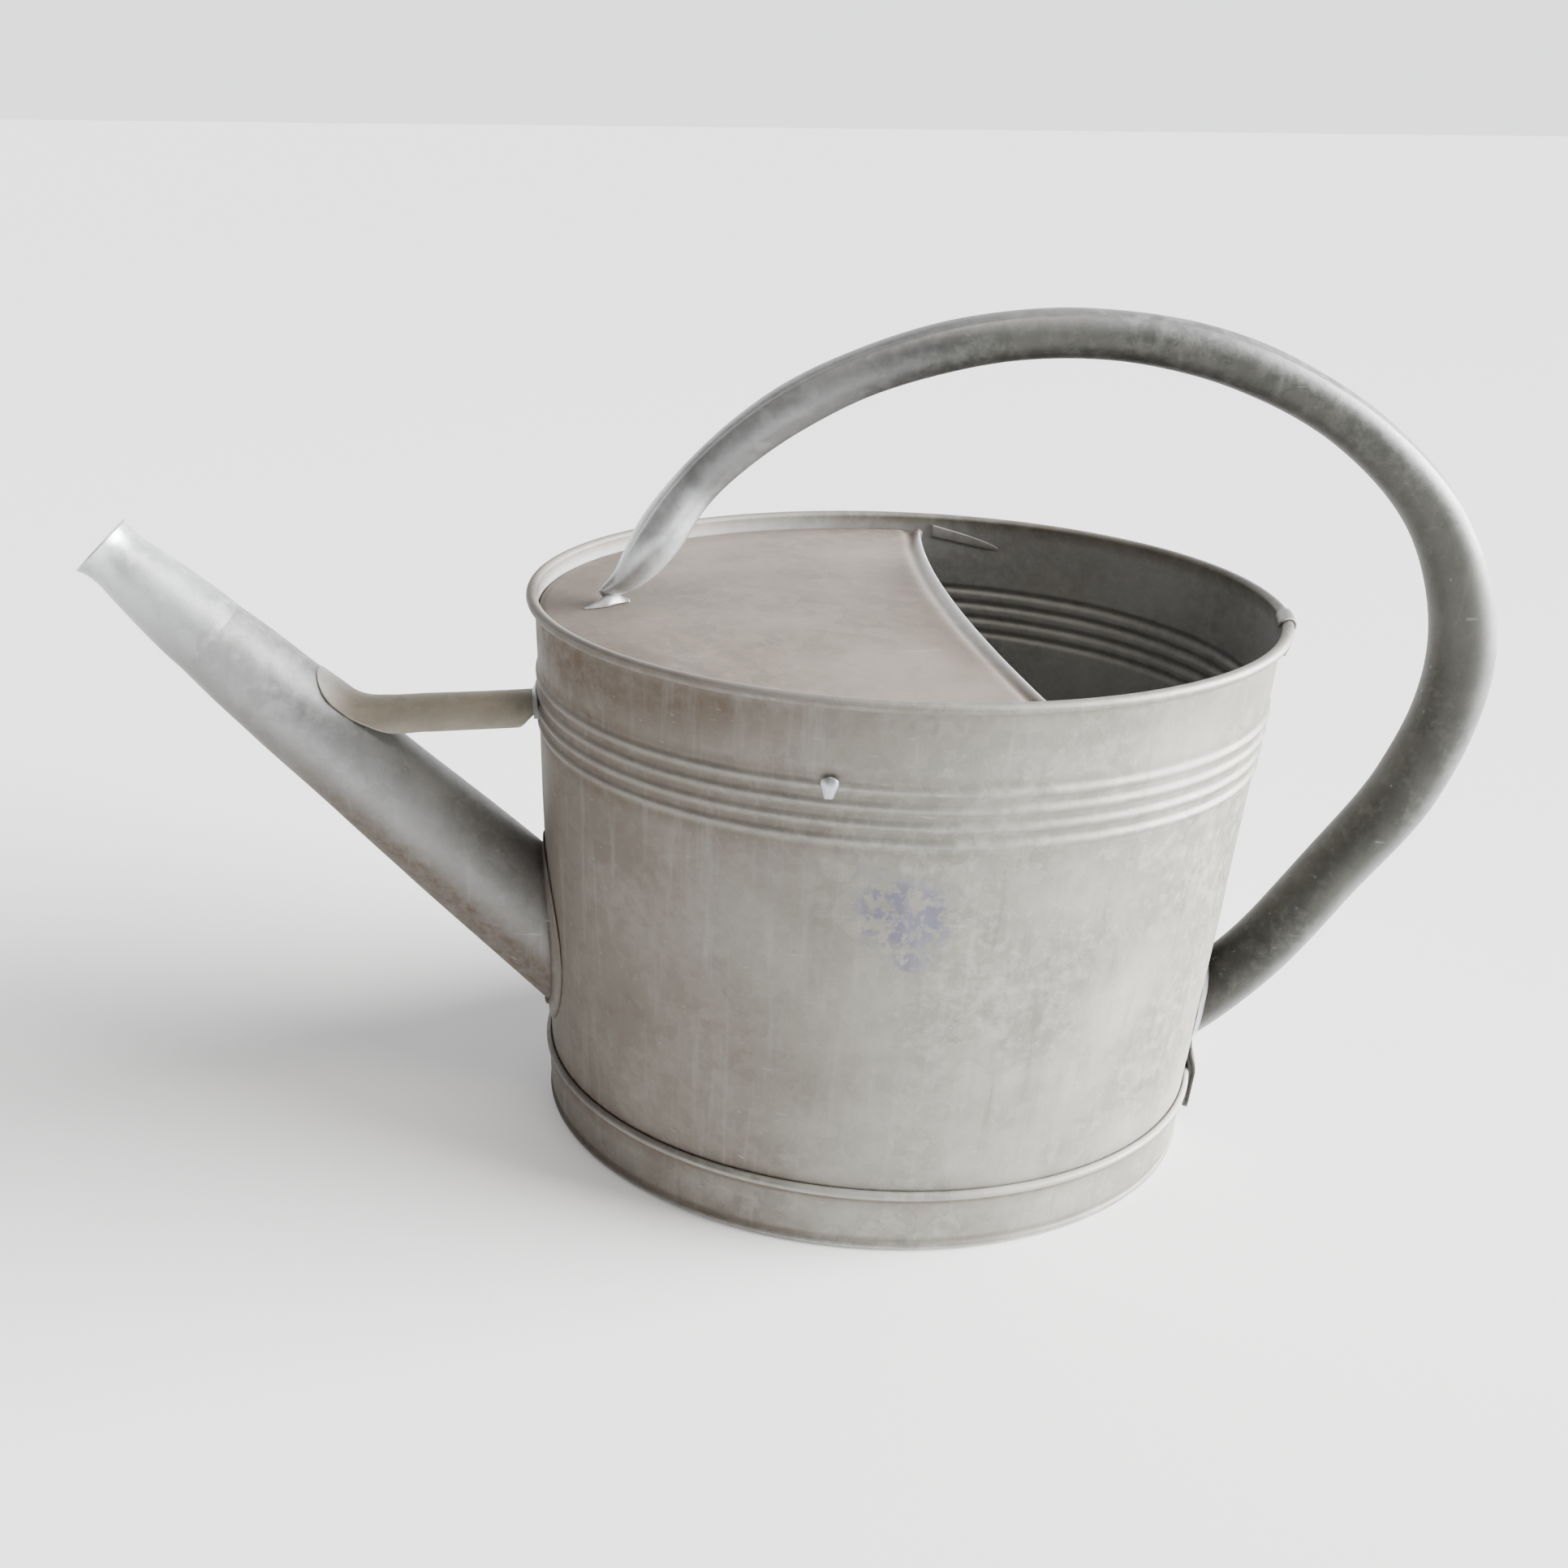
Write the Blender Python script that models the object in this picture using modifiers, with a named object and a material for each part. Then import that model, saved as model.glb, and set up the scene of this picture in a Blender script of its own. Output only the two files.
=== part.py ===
"""Oval galvanised watering can: tapered body with wired rim, half cover, spout, strut and hoop handle.

Metres, +Z up. The spout points to -X, the handle to +X, and the can stands on z = 0.
"""

import math

import bmesh
import bpy
from mathutils import Vector

MM = 0.001

# Where the middle of the body stands along X, so that the whole can is centred on the origin.
BODY_X = 54.5

# Body: an oval, measured at the wall's outer face at z = 0, that flares upwards by FLARE per mm.
BASE_A = 150.0
BASE_B = 112.3
FLARE = 0.0364
SHEET = 0.9
GAP = 0.35
STATIONS = 48
WALL_FOOT_Z = 6.0

# Wired rim rolled outwards round a wire.
RIM_OUT = 10.7
RIM_Z = 255.4
RIM_R = 2.4
RIM_WIRE_R = 1.25

# Four swaged ribs under the rim.
RIB_Z = (197.8, 205.2, 212.7, 220.1)
RIB_HALF = 2.6
RIB_OUT = 1.1

# Lock seam of the wall, beside the handle.
SEAM_Y = -30.0
SEAM_HALF = 3.0
SEAM_OUT = 0.9
SEAM_START_Z = (108.0, 112.0)
CLIP_Y = -29.0
CLIP_HALF = 6.0

# Foot band with a half-round ridge on top and a rolled, wired lower edge.
BAND_RIDGE_Z = 29.7
FOOT_OUT = -0.6
FOOT_Z = 2.255
FOOT_R = 2.4
FOOT_WIRE_R = 1.15

# Pressed bottom plate inside the foot.
PLATE_TOP_Z = 15.2
PLATE_LOW_Z = 6.4

# Half cover over the spout side, a little below the rim, with a rolled and wired lip.
COVER_Z = 249.4
COVER_DOME = 5.0
COVER_INSET = 0.45
COVER_FLANGE = 6.0
LIP_X = 23.0
LIP_SKEW = -1.5
LIP_BOW = 11.0
LIP_SPAN = 107.0
LIP_R = 1.4
LIP_WIRE_R = 0.62

# Spout: straight axis from the mouth down to the wall, with outer radii along it.
MOUTH = (-345.4, 275.8)
SPOUT_DIR = (0.7204, -0.6936)
NOZZLE_RADII = ((0, 15.3), (3, 14.2), (8, 13.6), (20, 14.9), (36, 16.9), (52, 18.7), (66, 20.2))
TUBE_RADII = (
    (57, 18.1), (70, 19.3), (81, 20.2), (108, 21.6), (138, 22.6),
    (175, 24.0), (206, 25.4), (236, 26.5), (262, 27.2), (300, 28.2),
)
ROOT_Z = 91.4
ROOT_HALF_Y = 28.9
ROOT_HALF_Z = 43.6
COLLAR_WIDE = 7.0

# Half-round strut between spout and wall.
STRUT_R = 13.0
STRUT_SHEET = 0.85
STRUT_WALL_Z = 209.3

# Hoop handle in an upright plane turned slightly about its front foot: (along, up, radius).
HANDLE_FOOT_X = -135.9
HANDLE_TURN = math.radians(-3.9)
HANDLE_POINTS = (
    (5.5, 255.2, 2.2), (15.9, 262.4, 6.4), (22.8, 271.0, 9.2), (29.1, 280.9, 10.6),
    (41.5, 300.6, 9.8), (74, 332.6, 10.4), (130.6, 361.4, 10.3), (192.9, 372.0, 10.2),
    (255.9, 363.0, 10.4), (312.6, 334.8, 10.3), (353, 293.6, 11.4), (371.8, 238, 12.9),
    (362.3, 181, 13.2), (334, 130.0, 13.0), (309.4, 90, 13.2), (291.6, 69, 13.2), (268, 46, 13.0),
)
HANDLE_SHEET = 0.9
HANDLE_ROOT_Y = -19.4
HANDLE_ROOT_Z = 64.9
HANDLE_ROOT_HALF_Y = 14.8
HANDLE_ROOT_HALF_Z = 21.6
TONGUE_Y = -20.0
TONGUE_HALF = 10.5
TONGUE_LIFT = 4.0
TONGUE_LOW_Z = 5.5
TONGUE_TOP_Z = 40.0

ZINC = (0.42, 0.43, 0.43)
DULL_ZINC = (0.33, 0.33, 0.31)
STEEL_WIRE = (0.30, 0.30, 0.31)
SOLDER = (0.62, 0.63, 0.65)


# ---------------------------------------------------------------- scene and materials


def clear_scene():
    for obj in list(bpy.data.objects):
        bpy.data.objects.remove(obj)


def collection(name):
    made = bpy.data.collections.new(name)
    bpy.context.scene.collection.children.link(made)
    return made


def material(name, colour, roughness):
    made = bpy.data.materials.new(name)
    made.use_nodes = True
    shader = made.node_tree.nodes["Principled BSDF"]
    shader.inputs["Base Color"].default_value = (*colour, 1.0)
    shader.inputs["Metallic"].default_value = 0.85
    shader.inputs["Roughness"].default_value = roughness
    return made


def add_part(name, mesh, colour, roughness=0.55, smooth=True):
    """Links a mesh as one finished part, in its own material."""
    mesh.name = name
    part = bpy.data.objects.new(name, mesh)
    PARTS.objects.link(part)
    part.location.x = BODY_X * MM
    mesh.materials.clear()
    mesh.materials.append(material(name + "_metal", colour, roughness))
    for face in mesh.polygons:
        face.use_smooth = smooth
    return part


def add_cutter(name, mesh):
    mesh.name = name
    cutter = bpy.data.objects.new(name, mesh)
    CUTTERS.objects.link(cutter)
    cutter.location.x = BODY_X * MM
    cutter.hide_render = True
    cutter.display_type = "WIRE"
    return cutter


def boolean(part, cutter, operation="DIFFERENCE"):
    modifier = part.modifiers.new(operation.lower(), "BOOLEAN")
    modifier.operation = operation
    modifier.solver = "EXACT"
    modifier.object = cutter


def solidify(part, thickness, offset):
    modifier = part.modifiers.new("sheet", "SOLIDIFY")
    modifier.thickness = thickness * MM
    modifier.offset = offset
    modifier.use_even_offset = True


def closed_mesh(bm):
    """Welds, turns the normals outwards and hands back the mesh."""
    bmesh.ops.remove_doubles(bm, verts=bm.verts, dist=1e-7)
    bmesh.ops.recalc_face_normals(bm, faces=bm.faces)
    mesh = bpy.data.meshes.new("mesh")
    bm.to_mesh(mesh)
    bm.free()
    return mesh


# ---------------------------------------------------------------- the oval and the wall


def flare(z):
    return FLARE * z


def oval_point(angle, out):
    """A point at a distance out from the base oval, along its own normal."""
    c, s = math.cos(angle), math.sin(angle)
    nx, ny = c / BASE_A, s / BASE_B
    size = math.hypot(nx, ny)
    return BASE_A * c + out * nx / size, BASE_B * s + out * ny / size


def station_angles():
    """Even steps round the oval, with closer ones at the wall's lock seam."""
    seam = math.asin(SEAM_Y / BASE_B) % (2 * math.pi)
    reach = SEAM_HALF / BASE_B
    even = [2 * math.pi * i / STATIONS for i in range(STATIONS)]
    near = [seam + step * reach for step in (-1.35, -0.75, 0.75, 1.35)]
    return sorted([a for a in even if abs(a - seam) > 2.2 * reach] + near)


def wall_x(y, z, out):
    """How far the wall's surface, moved outwards by out, lies from the middle at this y."""
    a, b = BASE_A + flare(z) + out, BASE_B + flare(z) + out
    return a * math.sqrt(max(0.0, 1 - (y / b) ** 2))


def poly_curve(name, points, cyclic, dimensions="3D"):
    data = bpy.data.curves.new(name, "CURVE")
    data.dimensions = dimensions
    spline = data.splines.new("POLY")
    spline.points.add(len(points) - 1)
    for point, place in zip(spline.points, points):
        point.co = (place[0] * MM, place[1] * MM, place[2] * MM, 1.0)
    spline.use_cyclic_u = cyclic
    curve = bpy.data.objects.new(name, data)
    CUTTERS.objects.link(curve)
    curve.hide_render = True
    return curve


def curve_to_mesh(curve, *helpers):
    """The welded mesh of a curve. The curve and its helpers are removed."""
    graph = bpy.context.evaluated_depsgraph_get()
    mesh = bpy.data.meshes.new_from_object(curve.evaluated_get(graph))
    bm = bmesh.new()
    bm.from_mesh(mesh)
    bpy.data.meshes.remove(mesh)
    for used in (curve, *helpers):
        bpy.data.objects.remove(used)
    return closed_mesh(bm)


def sweep_oval(profile):
    """Runs a closed profile of (out, z) points round the base oval."""
    section = poly_curve("section", [(out, z, 0) for out, z in profile], True, "2D")
    path = poly_curve("path", [(*oval_point(a, 0), 0) for a in station_angles()], True)
    path.data.twist_mode = "Z_UP"
    path.data.bevel_mode = "OBJECT"
    path.data.bevel_object = section.id_data
    return curve_to_mesh(path, section)


def ring_wire(out, z, radius):
    """A round wire bent to the oval."""
    path = poly_curve("wire", [(*oval_point(a, out), z) for a in station_angles()], True)
    path.data.bevel_depth = radius * MM
    path.data.bevel_resolution = 1
    return curve_to_mesh(path)


def arc(centre, radius, start, end, steps):
    turn = [math.radians(start + (end - start) * i / steps) for i in range(steps + 1)]
    return [(centre[0] + radius * math.cos(t), centre[1] + radius * math.sin(t)) for t in turn]


def oval_disc(out, low, high):
    """A solid oval prism; out may be a pair (at low, at high) for a flared one."""
    low_out, high_out = out if isinstance(out, tuple) else (out, out)
    angles = station_angles()
    bm = bmesh.new()
    made = bmesh.ops.create_cone(
        bm, cap_ends=True, segments=len(angles), radius1=1, radius2=1, depth=2
    )
    by_turn = sorted(made["verts"], key=lambda v: (v.co.z, math.atan2(v.co.y, v.co.x) % 6.28318))
    for i, vertex in enumerate(by_turn):
        top = i >= len(angles)
        x, y = oval_point(angles[i % len(angles)], high_out if top else low_out)
        vertex.co = (x * MM, y * MM, (high if top else low) * MM)
    return closed_mesh(bm)


def grid(columns, rows, place, wrap=False):
    """A sheet of columns x rows cells, each corner set by place(u, v) with u and v from 0 to 1."""
    bm = bmesh.new()
    made = bmesh.ops.create_grid(bm, x_segments=columns, y_segments=rows, size=0.5)
    for vertex in made["verts"]:
        x, y, z = place(vertex.co.x + 0.5, vertex.co.y + 0.5)
        vertex.co = (x * MM, y * MM, z * MM)
    if wrap:
        bmesh.ops.remove_doubles(bm, verts=bm.verts, dist=1e-6)
    bm.faces.ensure_lookup_table()
    mesh = bpy.data.meshes.new("sheet")
    bm.to_mesh(mesh)
    bm.free()
    return mesh


def face_away(mesh, centre):
    """Turns an open sheet's faces so that they look away from a centre point."""
    bm = bmesh.new()
    bm.from_mesh(mesh)
    bmesh.ops.recalc_face_normals(bm, faces=bm.faces)
    middle = Vector(centre) * MM
    looks = sum(f.normal.dot(f.calc_center_median() - middle) for f in bm.faces)
    if looks < 0:
        bmesh.ops.reverse_faces(bm, faces=bm.faces)
    bm.to_mesh(mesh)
    bm.free()
    return mesh


# ---------------------------------------------------------------- body


def rib_profile(face, side):
    """Corner points up the wall's face, from the foot to the rim; side is +1 outside, -1 inside."""
    points = [(flare(z) + face, z) for z in (WALL_FOOT_Z, *SEAM_START_Z)]
    for z in RIB_Z:
        points.append((flare(z - RIB_HALF) + face, z - RIB_HALF))
        points.append((flare(z) + face + RIB_OUT, z + 0.15 * side))
        points.append((flare(z + RIB_HALF) + face, z + RIB_HALF))
    return points


def build_body():
    centre = (RIM_OUT, RIM_Z)
    inner_curl = arc(centre, RIM_R - 0.8, 180, -105, 7)
    outer_curl = arc(centre, RIM_R, -105, 180, 7)
    profile = rib_profile(0, 1) + inner_curl + outer_curl + rib_profile(-SHEET, -1)[::-1]
    mesh = sweep_oval(profile)
    for vertex in mesh.vertices:
        x, y, z = vertex.co
        out = x / MM - wall_x(y / MM, z / MM, -0.5 * SHEET)
        on_seam = x > 0 and abs(y / MM - SEAM_Y) < SEAM_HALF + flare(z / MM)
        if on_seam and out > 0 and SEAM_START_Z[0] + 1 < z / MM < 251:
            vertex.co.x += SEAM_OUT * MM
    wall = add_part("body_wall", mesh, ZINC)
    boolean(wall, root_cutter())
    add_part("rim_wire", ring_wire(RIM_OUT, RIM_Z, RIM_WIRE_R), STEEL_WIRE, 0.5)
    build_seam_clip()


def build_seam_clip():
    """Sheet tongue folded over the rolled rim where the wall's seam ends."""
    hook = arc((RIM_OUT, RIM_Z), RIM_R + GAP, 190, -35, 9)
    hook += [(RIM_OUT + 1.9, RIM_Z - 4.6), (RIM_OUT + 0.6, RIM_Z - 9.0), (RIM_OUT + 0.1, RIM_Z - 13.5)]

    def place(u, v):
        out, z = hook[round(v * (len(hook) - 1))]
        y = CLIP_Y + CLIP_HALF * (2 * u - 1)
        return wall_x(y, 0, out), y, z

    clip = add_part("seam_clip", grid(4, len(hook) - 1, place), ZINC)
    face_away(clip.data, (140, CLIP_Y, 252))
    solidify(clip, SHEET, 1)


def build_foot():
    centre = (FOOT_OUT, FOOT_Z)
    top = BAND_RIDGE_Z + 2.2
    lift = flare(BAND_RIDGE_Z)
    profile = [
        (flare(top) + GAP, top),
        (lift + 1.7, top - 0.2),
        (lift + 2.6, BAND_RIDGE_Z + 1.0),
        (lift + 2.6, BAND_RIDGE_Z - 0.7),
        (flare(27.0) + GAP + SHEET, 27.0),
        (flare(6.4) + GAP + SHEET, 6.4),
    ]
    profile += arc(centre, FOOT_R, 50, -190, 6)
    profile += arc(centre, FOOT_R - 0.85, -190, 50, 6)
    profile.append((flare(6.4) + GAP, 6.4))
    add_part("foot_band", sweep_oval(profile), ZINC)
    add_part("foot_wire", ring_wire(FOOT_OUT, FOOT_Z, FOOT_WIRE_R), STEEL_WIRE, 0.5)

    fit = flare(PLATE_LOW_Z) - SHEET - GAP
    plate = add_part("base_plate", oval_disc(fit, PLATE_LOW_Z, PLATE_TOP_Z), DULL_ZINC, smooth=False)
    hollow = oval_disc(fit - SHEET, PLATE_LOW_Z - 5, PLATE_TOP_Z - SHEET)
    boolean(plate, add_cutter("plate_hollow", hollow))


# ---------------------------------------------------------------- cover


def cover_height(x, y):
    reach = (x / 158.0) ** 2 + (y / 120.5) ** 2
    return COVER_Z + COVER_DOME * (1 - min(1.0, reach))


def lip_x(y):
    return LIP_X + LIP_SKEW * y / LIP_SPAN + LIP_BOW * (y / LIP_SPAN) ** 2


def cover_rim(v):
    """A point of the cover's round edge: v runs from one end of the lip to the other."""
    edge = flare(COVER_Z) - SHEET - COVER_INSET
    reach = math.acos(0.228)
    angle = reach + (2 * math.pi - 2 * reach) * v
    return oval_point(angle, edge - 0.5 * SHEET)


def build_cover():
    def place(u, v):
        rim = Vector(cover_rim(v))
        lip_y = rim.y * (1.0 - 0.25 * (1 - abs(2 * v - 1)))
        if abs(2 * v - 1) < 1:
            lip_y = 117.0 * (1 - 2 * v) * (1 + 0.06 * (1 - abs(2 * v - 1)))
        lip = Vector((lip_x(lip_y), lip_y))
        if u < 0.3:
            turn = math.radians(-150 + 240 * u / 0.3)
            low = cover_height(lip.x, lip.y) - LIP_R
            return lip.x - LIP_R + LIP_R * math.cos(turn), lip.y, low + LIP_R * math.sin(turn)
        if u > 0.95:
            inwards = 0.9985
            return rim.x * inwards, rim.y * inwards, cover_height(rim.x, rim.y) - COVER_FLANGE
        along = (u - 0.3) / 0.6
        flat = (lip - Vector((LIP_R, 0))).lerp(rim, min(1.0, along))
        return flat.x, flat.y, cover_height(flat.x, flat.y)

    mesh = face_away(grid(20, 30, place), (-60, 0, 0))
    cover = add_part("cover", mesh, ZINC)
    solidify(cover, SHEET, 0)

    steps = 16
    ys = [106.0 * (1 - 2 * i / steps) for i in range(steps + 1)]
    points = [(lip_x(y) - LIP_R, y, cover_height(lip_x(y), y) - LIP_R) for y in ys]
    wire = poly_curve("lip", points, False)
    wire.data.bevel_depth = LIP_WIRE_R * MM
    wire.data.bevel_resolution = 1
    wire.data.use_fill_caps = True
    add_part("cover_lip_wire", curve_to_mesh(wire), STEEL_WIRE, 0.5)

    for name, side in (("cover_tab_rear", 1), ("cover_tab_front", -1)):
        add_part(name, cover_tab(side), ZINC)
        solidify(bpy.data.objects[name], SHEET, 1)


def cover_tab(side):
    """Ear that runs on from the cover's end along the inside of the wall, dropping and narrowing."""
    def place(u, v):
        angle = side * math.radians(75.0 - 12.5 * u)
        high = 249.6 - 6.5 * u
        tall = 6.0 * math.sqrt(max(0.05, 1 - u**4)) * (1 - 0.35 * u)
        z = high + tall * (v - 0.5)
        x, y = oval_point(angle, flare(z) - SHEET - 0.6)
        return x, y, z

    return face_away_inwards(grid(7, 2, place))


def face_away_inwards(mesh):
    """Turns a sheet's faces so that they look towards the middle of the can."""
    face_away(mesh, (0, 0, 240))
    bm = bmesh.new()
    bm.from_mesh(mesh)
    bmesh.ops.reverse_faces(bm, faces=bm.faces)
    bm.to_mesh(mesh)
    bm.free()
    return mesh


# ---------------------------------------------------------------- spout


def spout_point(s):
    return MOUTH[0] + SPOUT_DIR[0] * s, 0.0, MOUTH[1] + SPOUT_DIR[1] * s


def tapered_tube(name, places, radii, sheet, colour, sides):
    """Open sheet-metal tube round a path, with an outer radius at each point."""
    path = poly_curve(name + "_path", places, False)
    for point, radius in zip(path.data.splines[0].points, radii):
        point.radius = radius
    path.data.bevel_depth = MM
    path.data.bevel_resolution = sides // 2 - 2
    path.data.twist_mode = "MINIMUM"
    part = add_part(name, curve_to_mesh(path), colour)
    solidify(part, sheet, -1)
    return part


def body_volume(out, high):
    """Everything inside the wall's outer face moved outwards by out."""
    return oval_disc((out, flare(high) + out), 0.0, high)


def root_cutter():
    """The spout's bore, long enough to go through the front wall only."""
    bm = bmesh.new()
    bmesh.ops.create_cone(
        bm, cap_ends=True, segments=24, radius1=25.4 * MM, radius2=25.4 * MM, depth=110 * MM
    )
    axis = Vector((SPOUT_DIR[0], 0, SPOUT_DIR[1]))
    turn = Vector((0, 0, 1)).rotation_difference(axis).to_matrix()
    bmesh.ops.rotate(bm, verts=bm.verts, matrix=turn)
    bmesh.ops.translate(bm, verts=bm.verts, vec=Vector(spout_point(266)) * MM)
    return add_cutter("spout_bore", closed_mesh(bm))


def wall_ring(centre_y, centre_z, inner, outer, side, out, columns):
    """Flat ring that follows the wall's end: inner and outer are (half y, half z) outlines."""
    def place(u, v):
        turn = 2 * math.pi * u
        half_y = inner[0] + (outer[0] - inner[0]) * v
        half_z = inner[1] + (outer[1] - inner[1]) * v
        y = centre_y + half_y * math.cos(turn)
        z = centre_z + half_z * math.sin(turn)
        return side * wall_x(y, z, out), y, z

    return face_away(grid(columns, 1, place, wrap=True), (0, 0, centre_z))


def build_spout():
    places = [spout_point(s) for s, _ in TUBE_RADII]
    radii = [r for _, r in TUBE_RADII]
    tube = tapered_tube("spout_tube", places, radii, SHEET, ZINC, 20)
    boolean(tube, add_cutter("wall_outside", body_volume(GAP, 300.0)))

    places = [spout_point(s) for s, _ in NOZZLE_RADII]
    radii = [r for _, r in NOZZLE_RADII]
    tapered_tube("spout_nozzle", places, radii, 0.85, ZINC, 20)

    inner = (ROOT_HALF_Y, ROOT_HALF_Z)
    outer = (ROOT_HALF_Y + COLLAR_WIDE, ROOT_HALF_Z + COLLAR_WIDE - 1)
    mesh = wall_ring(0, ROOT_Z, inner, outer, -1, GAP, 28)
    add_part("spout_collar", mesh, ZINC)
    solidify(bpy.data.objects["spout_collar"], SHEET, 1)


def spout_radius(s):
    for (s0, r0), (s1, r1) in zip(TUBE_RADII, TUBE_RADII[1:]):
        if s <= s1:
            return r0 + (r1 - r0) * (s - s0) / (s1 - s0)
    return TUBE_RADII[-1][1]


def build_strut():
    normal = (-SPOUT_DIR[1], SPOUT_DIR[0])
    stations = []
    for s in (106.0, 112.0, 118.0):
        radius = spout_radius(s) + GAP + STRUT_SHEET
        x, _, z = spout_point(s)
        ridge = (x + normal[0] * radius, z + normal[1] * radius)
        half = 30.0 if s == 106.0 else 37.0
        stations.append((ridge, normal, radius, half))
    stations.append(((-238.4, 206.9), (0.42, 0.908), 18.0, 48.0))
    stations.append(((-232.5, 205.6), (0.12, 0.993), 14.4, 66.0))
    stations.append(((-226.0, 205.6), (-0.02, 1.0), STRUT_R, 84.0))
    stations.append(((-190.0, 207.4), (-0.04, 0.999), STRUT_R, 86.0))
    stations.append(((-163.0, 208.9), (-0.04, 0.999), STRUT_R, 86.0))
    stations.append(((0.0, STRUT_WALL_Z), (0.0, 1.0), STRUT_R, 60.0))
    last = len(stations) - 1

    def place(u, v):
        index = round(u * last)
        ridge, upright, radius, half = stations[index]
        turn = math.radians(half * (2 * v - 1))
        drop = radius * (1 - math.cos(turn))
        y = radius * math.sin(turn)
        x, z = ridge[0] - upright[0] * drop, ridge[1] - upright[1] * drop
        if index == last:
            x = -wall_x(y, z, RIB_OUT + GAP)
        return x, y, z

    mesh = grid(last, 12, place)
    strut = add_part("strut", face_away(mesh, (-205, 0, 150)), DULL_ZINC)
    solidify(strut, STRUT_SHEET, -1)


# ---------------------------------------------------------------- handle


def handle_place(along, up):
    return (
        HANDLE_FOOT_X + along * math.cos(HANDLE_TURN),
        along * math.sin(HANDLE_TURN),
        up,
    )


def build_handle():
    data = bpy.data.curves.new("handle_path", "CURVE")
    data.dimensions = "3D"
    spline = data.splines.new("BEZIER")
    spline.bezier_points.add(len(HANDLE_POINTS) - 1)
    for point, (along, up, radius) in zip(spline.bezier_points, HANDLE_POINTS):
        point.co = Vector(handle_place(along, up)) * MM
        point.radius = radius
        point.handle_left_type = point.handle_right_type = "AUTO"
    data.resolution_u = 3
    data.bevel_depth = MM
    data.bevel_resolution = 5
    data.twist_mode = "MINIMUM"
    path = bpy.data.objects.new("handle_path", data)
    CUTTERS.objects.link(path)
    tube = add_part("handle_tube", curve_to_mesh(path), ZINC)
    solidify(tube, HANDLE_SHEET, -1)
    boolean(tube, add_cutter("wall_outside_rear", body_volume(GAP, 190.0)))

    def tongue(u, v):
        z = TONGUE_LOW_Z + (TONGUE_TOP_Z - TONGUE_LOW_Z) * v
        side = 2 * u - 1
        round_end = math.sqrt(max(0.0, 1 - max(0.0, 1 - 5 * v) ** 2 * 0.72))
        y = TONGUE_Y + side * TONGUE_HALF * round_end
        over = 1 - min(1.0, max(0.0, (z - 34.0) / 8.0))
        out = GAP + TONGUE_LIFT * over * over * (3 - 2 * over)
        return wall_x(y, z, out), y, z

    mesh = face_away(grid(6, 14, tongue), (0, TONGUE_Y, 25))
    add_part("handle_tongue", mesh, ZINC)
    solidify(bpy.data.objects["handle_tongue"], 1.6, 1)

    inner = (HANDLE_ROOT_HALF_Y, HANDLE_ROOT_HALF_Z)
    outer = (HANDLE_ROOT_HALF_Y + 3.0, HANDLE_ROOT_HALF_Z + 3.0)
    mesh = wall_ring(HANDLE_ROOT_Y, HANDLE_ROOT_Z, inner, outer, 1, GAP, 20)
    add_part("solder_handle_rear", mesh, SOLDER, 0.4)
    solidify(bpy.data.objects["solder_handle_rear"], 1.0, 1)

    def pad(u, v):
        side = 2 * v - 1
        x = -141.0 + 34.0 * u
        wide = 6.2 * math.sin(math.pi * (0.08 + 0.84 * u)) ** 0.8
        y = side * wide
        return x, y, cover_height(x, y) + 0.5 * SHEET + GAP

    mesh = face_away(grid(10, 4, pad), (-125, 0, 0))
    add_part("solder_handle_front", mesh, SOLDER, 0.4)
    solidify(bpy.data.objects["solder_handle_front"], 1.1, 1)


def build_solder():
    """Old repair dab on the front wall and the fillet where the strut meets the wall."""
    def dab(u, v):
        turn = 2 * math.pi * u
        x = -47.0 + 3.4 * v * math.cos(turn)
        z = 219.0 + 5.8 * v * math.sin(turn)
        a, b = BASE_A + flare(z) + 1.6, BASE_B + flare(z) + 1.6
        return x, -b * math.sqrt(1 - (x / a) ** 2), z

    mesh = face_away(grid(12, 2, dab, wrap=True), (-47, 0, 214))
    add_part("solder_repair_dab", mesh, SOLDER, 0.4)
    solidify(bpy.data.objects["solder_repair_dab"], 0.9, 1)

    def fillet(u, v):
        turn = math.radians(150 - 120 * u)
        radius = STRUT_R + 0.5 + 3.0 * v
        y = radius * math.cos(turn)
        z = STRUT_WALL_Z - STRUT_R + radius * math.sin(turn)
        return -wall_x(y, z, GAP + 1.0 + 0.2), y, z

    mesh = face_away(grid(10, 1, fillet), (0, 0, STRUT_WALL_Z))
    add_part("solder_strut_wall", mesh, SOLDER, 0.4)
    solidify(bpy.data.objects["solder_strut_wall"], 1.0, 1)


clear_scene()
PARTS = collection("watering_can")
CUTTERS = collection("cutters")
build_body()
build_foot()
build_cover()
build_spout()
build_strut()
build_handle()
build_solder()
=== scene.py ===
"""Looks of an old oval watering can in hot-dipped galvanised sheet steel.

All but the wires and the bottom plate are finer skins of the solids in the frame, and every
surface is weathered metal: faint spangle, white bloom, brown grime and rubbed edges, with
painted shade and painted highlights mixed into the grime and rubbed colours.
"""

import math

import bmesh
import bpy
import numpy as np
from mathutils import Matrix, Vector, noise


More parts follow.
